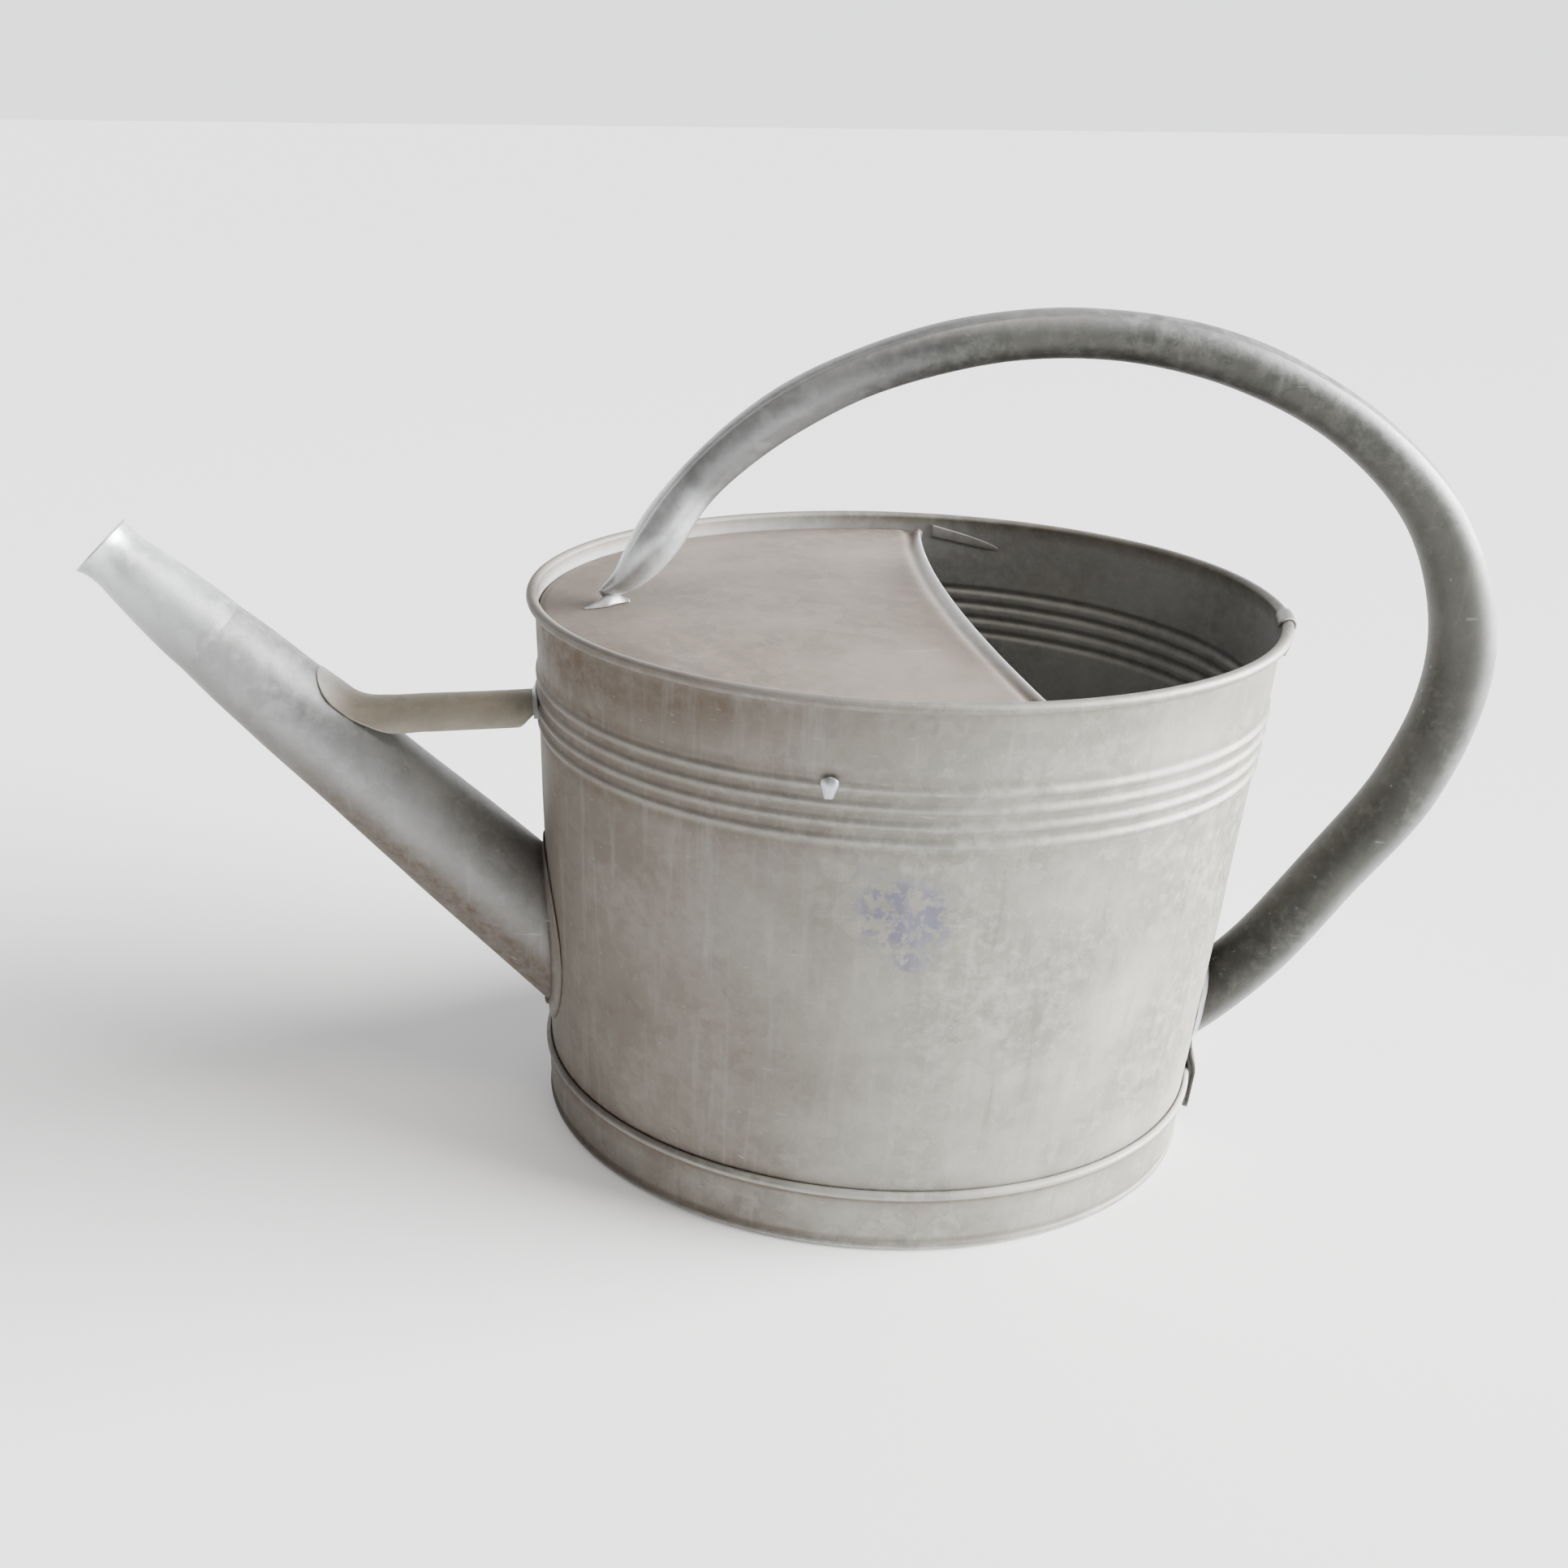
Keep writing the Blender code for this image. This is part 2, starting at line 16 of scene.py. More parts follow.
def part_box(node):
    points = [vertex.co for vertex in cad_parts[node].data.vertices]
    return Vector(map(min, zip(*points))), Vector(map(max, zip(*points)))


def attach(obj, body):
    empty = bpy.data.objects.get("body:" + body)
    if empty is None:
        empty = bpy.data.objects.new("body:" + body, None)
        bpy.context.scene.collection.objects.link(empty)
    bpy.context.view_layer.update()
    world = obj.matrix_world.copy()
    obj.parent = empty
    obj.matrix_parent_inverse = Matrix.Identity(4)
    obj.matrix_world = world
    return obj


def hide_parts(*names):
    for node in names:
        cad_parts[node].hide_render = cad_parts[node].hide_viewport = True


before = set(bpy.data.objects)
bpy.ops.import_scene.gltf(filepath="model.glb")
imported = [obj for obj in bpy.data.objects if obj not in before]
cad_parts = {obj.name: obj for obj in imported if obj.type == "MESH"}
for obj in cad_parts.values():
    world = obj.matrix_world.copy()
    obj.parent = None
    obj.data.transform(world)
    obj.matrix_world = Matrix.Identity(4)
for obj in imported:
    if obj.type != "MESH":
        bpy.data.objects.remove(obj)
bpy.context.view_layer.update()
MM = 0.001

# ---------------------------------------------------------------- driving sizes, in millimetres


def node_box(name):
    """(lowest, highest) corner of a CAD node in millimetres."""
    low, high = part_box(name)
    return np.array(low) / MM, np.array(high) / MM


RIM_OUT = 10.7
RIM_R = 2.4
RIM_WIRE_R = 1.25
RIM_LOW, RIM_HIGH = node_box("rim_wire")
BODY_X = 0.5 * (RIM_LOW[0] + RIM_HIGH[0])
BASE_A = 0.5 * (RIM_HIGH[0] - RIM_LOW[0]) - RIM_OUT - RIM_WIRE_R
BASE_B = 0.5 * (RIM_HIGH[1] - RIM_LOW[1]) - RIM_OUT - RIM_WIRE_R
RIM_Z = 0.5 * (RIM_LOW[2] + RIM_HIGH[2])
FLARE = 0.0364
SHEET = 0.9
GAP = 0.3
OVAL_STATIONS = 288
WALL_FOOT_Z = node_box("body_wall")[0][2]

RIB_Z = (197.8, 205.2, 212.7, 220.1)
RIB_HALF = 2.9
RIB_OUT = 1.15
SEAM_Y = -30.0
SEAM_HALF = 3.2
SEAM_OUT = 0.85

BAND_RIDGE_Z = 29.7
FOOT_OUT = -0.6
FOOT_Z = 2.4
FOOT_R = 2.4

COVER_Z = 249.4
COVER_DOME = 5.0
COVER_A, COVER_B = 158.0, 120.5
LIP_X = 23.0
LIP_SKEW = -1.5
LIP_BOW = 11.0
LIP_SPAN = 107.0
LIP_R = 1.4

MOUTH = np.array((-345.4, 0.0, 275.8))
SPOUT_DIR = np.array((0.7204, 0.0, -0.6936))
SPOUT_UP = np.array((0.6936, 0.0, 0.7204))
NOZZLE_RADII = (
    (0, 15.3), (3, 14.2), (8, 13.6), (20, 14.9), (36, 16.8), (50, 18.05), (58, 18.4), (66, 18.45),
)
TUBE_RADII = (
    (57, 18.1), (70, 19.3), (81, 20.2), (108, 21.6), (138, 22.6),
    (175, 24.0), (206, 25.4), (236, 26.5), (262, 27.2), (300, 28.2),
)
TUBE_ROW_S, TUBE_ROW_R = np.array(TUBE_RADII, float).T
TUBE_START = 57.0
ROOT_START, ROOT_START_R = 215.0, 25.8
SPOUT_HOLE_R = 25.2
SPOUT_SIDES = 112
TUBE_RINGS, NOZZLE_RINGS = 90, 50
STRUT_R = 13.0
STRUT_WALL_Z = 209.3
STRUT_RINGS = 100
# Each row: x, z and the outward direction's x and z on the ridge, then radius and half angle.
STRUT_ROWS = (
    (-238.4, 206.9, 0.42, 0.908, 18.0, 48.0), (-232.5, 205.6, 0.12, 0.993, 14.4, 66.0),
    (-226.0, 205.6, -0.02, 1.0, STRUT_R, 84.0), (-208.0, 206.5, -0.03, 0.9995, STRUT_R, 86.0),
    (-190.0, 207.4, -0.04, 0.999, STRUT_R, 86.0), (-172.0, 208.4, -0.04, 0.999, STRUT_R, 86.0),
    (-157.5, STRUT_WALL_Z, -0.03, 0.9995, STRUT_R, 86.0),
)

HANDLE_FOOT_X = -135.9
HANDLE_TURN = math.radians(-3.9)
HANDLE_POINTS = (
    (5.5, 255.2, 2.2), (15.9, 262.4, 6.4), (22.8, 271.0, 9.2), (29.1, 280.9, 10.6),
    (41.5, 300.6, 9.8), (74, 332.6, 10.4), (130.6, 361.4, 10.3), (192.9, 372.0, 10.2),
    (255.9, 363.0, 10.4), (312.6, 334.8, 10.3), (353, 293.6, 11.4), (371.8, 238, 12.9),
    (362.3, 181, 13.2), (334, 130.0, 13.0), (309.4, 90, 13.2), (291.6, 69, 13.2), (268, 46, 13.0),
)
HANDLE_END_Y, HANDLE_END_Z = -19.4, 64.9
TONGUE_Y, TONGUE_HALF = -20.0, 10.5
TONGUE_LOW, TONGUE_LONG = 5.5, 38.0
CLIP_Y, CLIP_HALF = -29.0, 6.0
DAB_X, DAB_Z = -47.0, 220.0

# ---------------------------------------------------------------- small helpers


def linear(hex_colour):
    """An sRGB hex colour as linear red, green, blue and alpha."""
    parts = [int(hex_colour[i : i + 2], 16) / 255 for i in (1, 3, 5)]
    return (*[c / 12.92 if c <= 0.04045 else ((c + 0.055) / 1.055) ** 2.4 for c in parts], 1.0)


def add_node(tree, kind, links=None, **settings):
    """A shader node with its settings, and its inputs given values or linked from other sockets."""
    node = tree.nodes.new(kind)
    for key, value in settings.items():
        setattr(node, key, value)
    for name, value in (links or {}).items():
        socket = node.inputs[name]
        if isinstance(value, bpy.types.NodeSocket):
            tree.links.new(value, socket)
        else:
            socket.default_value = value
    return node


def smooth(t):
    t = np.clip(t, 0.0, 1.0)
    return t * t * (3 - 2 * t)


def cubic(points, count):
    """A smooth curve through the rows, sampled evenly along its first two columns' length."""
    points = np.array(points, float)
    chord = np.r_[0, np.cumsum(np.linalg.norm(np.diff(points[:, :2], axis=0), axis=1))]
    slopes = np.gradient(points, chord, axis=0)
    at = np.linspace(0, chord[-1], count)
    index = np.clip(np.searchsorted(chord, at, side="right") - 1, 0, len(points) - 2)
    step = (chord[index + 1] - chord[index])[:, None]
    t = ((at - chord[index])[:, None]) / step
    h00, h10 = 2 * t**3 - 3 * t**2 + 1, t**3 - 2 * t**2 + t
    h01, h11 = -2 * t**3 + 3 * t**2, t**3 - t**2
    return (
        h00 * points[index] + h10 * step * slopes[index]
        + h01 * points[index + 1] + h11 * step * slopes[index + 1]
    )


def wobble(places, size, amount, seed):
    """Smooth random numbers at places (mm), for dents and hand-made unevenness."""
    flat = places.reshape(-1, 3) / size
    shift = Vector((seed * 7.3, seed * 3.1, seed * 5.7))
    values = [noise.noise(Vector(p) + shift) for p in flat]
    return amount * np.array(values).reshape(places.shape[:-1])


def skin(name, grid, material, nodes, wrap_u=False, wrap_v=False, grime_and_shade=0.0, flip=False,
         rub_and_highlight=0.0):
    """A smooth quad skin over a grid of points (mm), with a UV map in metres.

    Two marks say how far each point, from 0 to 1, turns to the stain colour (grime and painted shade)
    and to the rubbed colour (rubbed edges and painted highlights)."""
    grid = np.asarray(grid, float) + np.array((BODY_X, 0.0, 0.0))
    rows, columns = grid.shape[:2]
    u = np.arange(rows if wrap_u else rows - 1)
    v = np.arange(columns if wrap_v else columns - 1)
    uu, vv = [m.ravel() for m in np.meshgrid(u, v, indexing="ij")]
    corners = [(uu, vv), (uu + 1, vv), (uu + 1, vv + 1), (uu, vv + 1)]
    if flip:
        corners.reverse()
    faces = np.stack([(a % rows) * columns + b % columns for a, b in corners], axis=1)
    mesh = bpy.data.meshes.new(name)
    mesh.from_pydata((grid.reshape(-1, 3) * MM).tolist(), [], faces.tolist())

    length_u = np.linalg.norm(np.diff(grid, axis=0, append=grid[:1]), axis=2).mean(axis=1)
    length_v = np.linalg.norm(np.diff(grid, axis=1, append=grid[:, :1]), axis=2).mean(axis=0)
    along_u = np.r_[0, np.cumsum(length_u)] * MM
    along_v = np.r_[0, np.cumsum(length_v)] * MM
    uv = np.stack([np.stack([along_u[a], along_v[b]], axis=1) for a, b in corners], axis=1)
    layer = mesh.uv_layers.new(name="sheet")
    layer.uv.foreach_set("vector", uv.ravel().astype(np.float32))

    for key, amount in (("grime_and_shade", grime_and_shade), ("rub_and_highlight", rub_and_highlight)):
        marks = mesh.attributes.new(key, "FLOAT", "POINT")
        spread = np.broadcast_to(amount, (rows, columns))
        marks.data.foreach_set("value", np.clip(spread, 0, 1).ravel().astype(np.float32))
    mesh.materials.append(material)
    mesh.shade_smooth()
    piece = bpy.data.objects.new(name, mesh)
    bpy.context.scene.collection.objects.link(piece)
    return finish_piece(piece, nodes)


def finish_piece(piece, nodes):
    """Hides the CAD nodes the piece stands for and hangs the piece on the root body."""
    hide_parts(*nodes)
    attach(piece, "root")
    return piece


def give_thickness(grid, centre, thickness):
    """The grid, and a copy moved by a thickness towards a centre, or away if it is negative."""
    du = np.gradient(grid, axis=0)
    dv = np.gradient(grid, axis=1)
    normal = np.cross(du, dv)
    normal /= np.maximum(np.linalg.norm(normal, axis=2, keepdims=True), 1e-9)
    away = ((grid - np.array(centre)) * normal).sum()
    if away < 0:
        normal = -normal
    return grid, grid - normal * thickness


def plate(name, grid, centre, thickness, material, nodes, grime_and_shade=0.0, rub_and_highlight=0.0):
    """A thin sheet with square edges: outer grid, inner grid and the strips that join them."""
    outer, inner = give_thickness(grid, centre, thickness)
    outer = np.concatenate([inner[:1], outer, inner[-1:]])
    inner = np.concatenate([inner[:1], inner, inner[-1:]])
    section = np.concatenate([outer, inner[:, ::-1]], axis=1)
    marks = []
    for amount in (grime_and_shade, rub_and_highlight):
        spread = np.broadcast_to(amount, grid.shape[:2])
        spread = np.concatenate([spread[:1], spread, spread[-1:]])
        marks.append(np.concatenate([spread, spread[:, ::-1]], axis=1))
    piece = skin(name, section, material, nodes, False, True, marks[0], rub_and_highlight=marks[1])
    turn_outwards(piece)
    return piece


def turn_outwards(piece):
    """Closes the seams and makes every face look out of the solid."""
    bm = bmesh.new()
    bm.from_mesh(piece.data)
    bmesh.ops.remove_doubles(bm, verts=bm.verts, dist=2e-6)
    bmesh.ops.dissolve_degenerate(bm, edges=bm.edges, dist=1e-7)
    bmesh.ops.recalc_face_normals(bm, faces=bm.faces)
    bm.to_mesh(piece.data)
    bm.free()


# ---------------------------------------------------------------- the oval


def flare(z):
    """How much wider the tapered wall is at a height than at the ground."""
    return FLARE * z


def oval(angle, out):
    """Points at a distance out from the base oval, along its normals."""
    c, s = np.cos(angle), np.sin(angle)
    nx, ny = c / BASE_A, s / BASE_B
    size = np.hypot(nx, ny)
    return BASE_A * c + out * nx / size, BASE_B * s + out * ny / size


def wall_x(y, z, out):
    """How far from the middle plane the wall is, moved out, at this y and z."""
    a, b = BASE_A + flare(z) + out, BASE_B + flare(z) + out
    return a * np.sqrt(np.maximum(0.0, 1 - (y / b) ** 2))


def ribs(z):
    """How far the swaged ribs stand out at this height."""
    total = np.zeros_like(z)
    for centre in RIB_Z:
        near = np.clip(np.abs(z - centre) / RIB_HALF, 0, 1)
        total += RIB_OUT * np.cos(0.5 * math.pi * near) ** 2
    return total


def arc(centre, radius, start, end, steps):
    turn = np.radians(np.linspace(start, end, steps))
    return np.stack([centre[0] + radius * np.cos(turn), centre[1] + radius * np.sin(turn)], axis=1)


def around(profile, stations):
    """A closed grid of the (out, z) profile carried round the oval."""
    angle = np.linspace(0, 2 * math.pi, stations, endpoint=False)[:, None]
    x, y = oval(angle, profile[None, :, 0])
    return np.stack([x, y, np.broadcast_to(profile[None, :, 1], x.shape)], axis=2)


# ---------------------------------------------------------------- weathered zinc


FADED_INK = "#646478"
# Colour of rubbed edges, also used for painted highlights.
RUBBED_AND_HIGHLIGHT_ZINC = "#CDD0D3"
# Noise scales are patches per metre, so 1000 divided by one is its size in millimetres.
CLOUDS = 13.0
WARP = 70.0
MOTTLE = 170.0
GRAIN = 900.0
# Rain runs are 5 mm wide and 14 times as long; scuffs are 2.4 mm wide and 8 times as long.
RUNS, RUNS_STRETCH = 190.0, (1.0, 1.0, 0.07)
SCUFFS, SCUFFS_STRETCH, SCUFFS_SLANT = 420.0, (0.12, 1.0, 1.0), (0.0, 0.45, 0.0)


def zinc(name, bare, bloom, stain_and_shade, roughness=0.5, metallic=0.6, streaks=0.2, spangle_mm=7.0,
         blot=None):
    """Hot-dipped zinc on sheet steel, decades old: the spangle has dulled to soft flecks, white
    carbonate bloom lies in clouds, brown grime sits in hollows and runs down in faint streaks.
    The stain colour also paints shade, and the rubbed colour paints highlights as well as wear.
    A blot is the (x, y, z) in metres of a worn blue-grey ink stain."""
    made = bpy.data.materials.new(name)
    made.use_nodes = True
    tree = made.node_tree
    shader = tree.nodes["Principled BSDF"]
    place = add_node(tree, "ShaderNodeTexCoord").outputs["Object"]

    def fractal(scale, detail, rough, vector=place):
        return add_node(
            tree, "ShaderNodeTexNoise",
            {"Vector": vector, "Scale": scale, "Detail": detail, "Roughness": rough},
        ).outputs["Fac"]

    def between(value, low, high, top, bottom=0.0):
        return add_node(
            tree, "ShaderNodeMapRange",
            {"Value": value, "From Min": low, "From Max": high, "To Min": bottom, "To Max": top},
            interpolation_type="SMOOTHSTEP",
        ).outputs[0]

    def combine(first, second, operation):
        return add_node(
            tree, "ShaderNodeMath", {0: first, 1: second}, operation=operation, use_clamp=True,
        ).outputs[0]

    def tint(amount, under, over):
        return add_node(
            tree, "ShaderNodeMix", {"Factor": amount, "A": under, "B": over}, data_type="RGBA",
        ).outputs[2]

    warp = add_node(tree, "ShaderNodeTexNoise", {"Vector": place, "Scale": WARP, "Detail": 3.0})
    bent = add_node(
        tree, "ShaderNodeMix", {"Factor": 0.01, "A": place, "B": warp.outputs["Color"]},
        data_type="VECTOR",
    ).outputs[1]
    cells = add_node(tree, "ShaderNodeTexVoronoi", {"Vector": bent, "Scale": 1000 / spangle_mm})
    fleck = add_node(tree, "ShaderNodeSeparateColor", {"Color": cells.outputs["Color"]}).outputs[0]
    down = add_node(tree, "ShaderNodeMapping", {"Vector": place, "Scale": RUNS_STRETCH})
    askew = add_node(
        tree, "ShaderNodeMapping",
        {"Vector": place, "Rotation": SCUFFS_SLANT, "Scale": SCUFFS_STRETCH},
    )
    clouds = fractal(CLOUDS, 7.0, 0.55)
    mottle = fractal(MOTTLE, 6.0, 0.68)
    grain = fractal(GRAIN, 3.0, 0.7)
    runs = fractal(RUNS, 5.0, 0.6, down.outputs[0])
    scuffs = fractal(SCUFFS, 2.0, 0.5, askew.outputs[0])

    bloom_mask = combine(between(clouds, 0.4, 0.7, 0.6), between(mottle, 0.4, 0.68, 0.5), "MAXIMUM")
    broken = between(mottle, 0.3, 0.7, 1.0, 0.75)
    # This mark pulls the colour towards the stain colour: real grime and painted shade.
    grime_and_shade = add_node(tree, "ShaderNodeAttribute", attribute_name="grime_and_shade").outputs["Fac"]
    dirt_and_shade = combine(grime_and_shade, broken, "MULTIPLY")
    dirt_and_shade = combine(dirt_and_shade, between(runs, 0.5, 0.8, streaks), "MAXIMUM")
    # This mark pulls the colour towards rubbed zinc: rubbed edges and painted highlights.
    rub_and_highlight = add_node(tree, "ShaderNodeAttribute", attribute_name="rub_and_highlight").outputs["Fac"]
    bright = combine(combine(rub_and_highlight, broken, "MULTIPLY"), between(scuffs, 0.69, 0.77, 0.12), "MAXIMUM")
    bright = combine(bright, between(runs, 0.26, 0.5, 0.0, 0.2 * streaks), "MAXIMUM")

    colour = tint(fleck, linear(bare[0]), linear(bare[1]))
    colour = tint(bloom_mask, colour, linear(bloom))
    if blot:
        far = add_node(
            tree, "ShaderNodeVectorMath", {0: place, 1: blot}, operation="DISTANCE",
        ).outputs["Value"]
        far = add_node(
            tree, "ShaderNodeMath", {0: far, 1: fractal(65.0, 3.0, 0.5)}, operation="MULTIPLY",
        ).outputs[0]
        spread = between(far, 0.006, 0.013, 0.0, 0.9)
        worn_and_sheen = combine(spread, between(mottle, 0.45, 0.54, 1.0), "MULTIPLY")
        colour = tint(worn_and_sheen, colour, linear(FADED_INK))
    colour = tint(dirt_and_shade, colour, linear(stain_and_shade))
    colour = tint(bright, colour, linear(RUBBED_AND_HIGHLIGHT_ZINC))
    tree.links.new(colour, shader.inputs["Base Color"])

    dulled = combine(bloom_mask, dirt_and_shade, "MAXIMUM")
    tree.links.new(between(dulled, 0.0, 1.0, 0.4 * metallic, metallic), shader.inputs["Metallic"])
    rough = add_node(
        tree, "ShaderNodeMath", {0: dulled, 1: bright}, operation="SUBTRACT",
    ).outputs[0]
    rough = add_node(
        tree, "ShaderNodeMath", {0: rough, 1: grain}, operation="ADD",
    ).outputs[0]
    tree.links.new(
        between(rough, -0.3, 1.6, min(0.9, roughness + 0.22), roughness - 0.12),
        shader.inputs["Roughness"],
    )
    fine = add_node(
        tree, "ShaderNodeBump", {"Height": grain, "Strength": 0.2, "Distance": 0.0002},
    )
    pitted = add_node(
        tree, "ShaderNodeBump",
        {"Height": mottle, "Strength": 0.3, "Distance": 0.0005, "Normal": fine.outputs[0]},
    )
    tree.links.new(pitted.outputs[0], shader.inputs["Normal"])
    return made


# Sheet zinc of the tank: greenish grey, clouded paler where rain has dried on it.
BODY_ZINC = zinc(
    "galvanised_sheet", ("#787770", "#86857D"), "#A8A7A0", "#574A3E", 0.52, 0.6, 0.35,
    blot=((BODY_X - 17.0) * MM, -118.0 * MM, 0.167),
)
# The cover has weathered to a warm, even grey-beige.
COVER_ZINC = zinc("galvanised_cover", ("#766E66", "#847B72"), "#978E85", "#51463D", 0.52, 0.5, 0.0)
# The spout is bluer and smoother, as a piece dipped on its own would be.
SPOUT_ZINC = zinc("galvanised_spout", ("#808180", "#8E9090"), "#A7A9A9", "#54483C", 0.44, 0.6, 0.35)
# The handle's tube, rubbed dark by hands.
HANDLE_ZINC = zinc("galvanised_handle", ("#373834", "#43433F"), "#5D5D58", "#2C2822", 0.45, 0.6, 0.15)
# The strut and the bottom plate keep a dull yellowish grey.
DULL_ZINC = zinc("galvanised_dull", ("#928B7E", "#9E9789"), "#A7A093", "#575044", 0.55)
# Bright drawn wire, dulled inside the rolls of the rim and foot.
WIRE = zinc("galvanised_wire", ("#7C7C7A", "#8C8C8A"), "#A0A09C", "#4A453D", 0.45, spangle_mm=5)
# Tin-lead solder: softer, whiter and smoother than the zinc round it.
SOLDER = zinc("tin_lead_solder", ("#A9ACB0", "#B8BBBF"), "#C2C4C6", "#6B665E", 0.36, 0.8, 0.0, 4)


# ---------------------------------------------------------------- body and foot


def seam_rise(grid):
    """The flat-hammered lock seam that runs up the wall beside the handle."""
    off = np.abs(grid[..., 1] - SEAM_Y)
    height = smooth((SEAM_HALF + 0.8 - off) / 1.2)
    return height * (grid[..., 0] > 0)


def build_body():
    low = np.r_[WALL_FOOT_Z, np.arange(14, 190, 6.0)]
    fine = np.arange(193.0, 225.6, 0.55)
    high = np.array((228.0, 232.0, 237.0, 242.0, 246.0, 249.5))
    z = np.r_[low, fine, high]
    outer = np.stack([flare(z) + ribs(z), z], axis=1)
    inner = np.stack([flare(z) - SHEET + ribs(z), z], axis=1)[::-1]
    centre = (RIM_OUT, RIM_Z)
    curl_in = arc(centre, RIM_R - 0.75, 180, -105, 20)
    curl_out = arc(centre, RIM_R, -105, 180, 26)
    profile = np.concatenate([outer, curl_in, curl_out, inner])

    up = profile[:, 1]
    groove = np.zeros(len(profile))
    for valley in 0.5 * (np.array(RIB_Z)[1:] + np.array(RIB_Z)[:-1]):
        groove += np.exp(-(((up - valley) / 1.3) ** 2))
    below_ribs = np.exp(-(((up - RIB_Z[0] + 4.4) / 1.4) ** 2))
    above_ribs = np.exp(-(((up - RIB_Z[-1] - 4.4) / 1.6) ** 2))
    groove += below_ribs + above_ribs
    inside = np.arange(len(profile)) >= len(outer) + len(curl_in) + len(curl_out)
    # Grime and painted shade: the outside darkens over the 20 mm under the rim.
    under_rim = smooth((up - 226.0) / 20.0) * (np.arange(len(profile)) < len(outer))
    near_foot = np.exp(-((up - 33.0) / 3.5) ** 2)
    dirt_and_shade = 0.2 * groove + 0.28 * under_rim + 0.25 * near_foot
    dirt_and_shade = np.where(inside, 0.45, dirt_and_shade)

    grid = around(profile, OVAL_STATIONS)
    angle = np.linspace(0, 2 * math.pi, OVAL_STATIONS, endpoint=False)[:, None]
    fade = smooth((up - 40.0) / 25.0) * smooth((247.0 - up) / 12.0)
    dents = wobble(grid, 70.0, 0.75, 1) + wobble(grid, 26.0, 0.16, 2)
    big_dent = np.exp(-(((grid[..., 0] + 62) / 26) ** 2 + ((up - 92) / 34) ** 2))
    dents -= 1.1 * big_dent * (grid[..., 1] < 0)
    x, y = oval(angle, np.zeros_like(grid[..., 0]) + profile[None, :, 0] + dents * fade)
    rise = SEAM_OUT * seam_rise(grid) * smooth((up - 34.0) / 3.0) * smooth((253.5 - up) / 2.0)
    outside = (np.arange(len(profile)) < len(outer)).astype(float)
    grid[..., 0] = x + rise * outside
    grid[..., 1] = y
    splash = 0.12 * smooth(wobble(grid, 45.0, 1.0, 5) * 2.2)
    seam_edge = np.exp(-(((np.abs(grid[..., 1] - SEAM_Y) - SEAM_HALF - 0.6) / 0.7) ** 2))
    dirt_and_shade = dirt_and_shade[None, :] + splash * outside + 0.6 * seam_edge * (grid[..., 0] > 0) * outside
    # Painted shade: the outside darkens towards the left, the rim roll less so.
    left = smooth((30.0 - grid[..., 0]) / 160.0)
    dirt_and_shade = dirt_and_shade + left * np.where(inside, 0.0, np.where(outside > 0, 0.68, 0.4))
    # The rim roll is darker all round.
    dirt_and_shade = dirt_and_shade + 0.3 * (~inside & (outside == 0))
    # Painted light brightens the inside; the rim's top edge is rubbed and carries a painted highlight;
    # rib crests are rubbed.
    rub_and_highlight = 0.08 * ribs(up) * outside + 0.12 * (up > 256.2) + 0.5 * inside
    piece = skin(
        "tank_wall", grid, BODY_ZINC, ["body_wall"], True, True, dirt_and_shade, True, rub_and_highlight
    )
    cut_spout_hole(piece)


def cut_spout_hole(piece):
    """Opens the wall where the spout enters."""
    bm = bmesh.new()
    bm.from_mesh(piece.data)
    gone = []
    for face in bm.faces:
        p = np.array(face.calc_center_median()) / MM - np.array((BODY_X, 0, 0))
        offset = p - MOUTH
        beside = offset - SPOUT_DIR * (offset @ SPOUT_DIR)
        if p[0] < 0 and np.linalg.norm(beside) < SPOUT_HOLE_R and p[2] < 150:
            gone.append(face)
    bmesh.ops.delete(bm, geom=gone, context="FACES")
    edges = [e for e in bm.edges if e.is_boundary]
    bm.normal_update()
    bmesh.ops.bridge_loops(bm, edges=edges)
    bm.to_mesh(piece.data)
    bm.free()


def build_seam_clip():
    """Sheet tongue folded over the rolled rim where the wall's seam ends."""
    hook = arc((RIM_OUT, RIM_Z), RIM_R + GAP + SHEET, 190, -35, 26).tolist()
    hook += [(RIM_OUT + 3.3, RIM_Z - 4.4), (RIM_OUT + 2.6, RIM_Z - 9.0)]
    hook += [(RIM_OUT + 1.4, RIM_Z - 14.0)]
    hook = np.array(hook)
    across = np.linspace(-1, 1, 12)[:, None]
    narrow = 1 - 0.25 * smooth((RIM_Z - 8 - hook[:, 1]) / 6.0)[None, :]
    y = CLIP_Y + CLIP_HALF * across * narrow
    grid = np.stack([wall_x(y, 0, hook[None, :, 0]), y, hook[None, :, 1] + 0 * y], axis=2)
    plate(
        "seam_clip_skin", grid, (140, CLIP_Y, 252), 0.8, BODY_ZINC, ["seam_clip"], 0.2,
        0.3,
    )


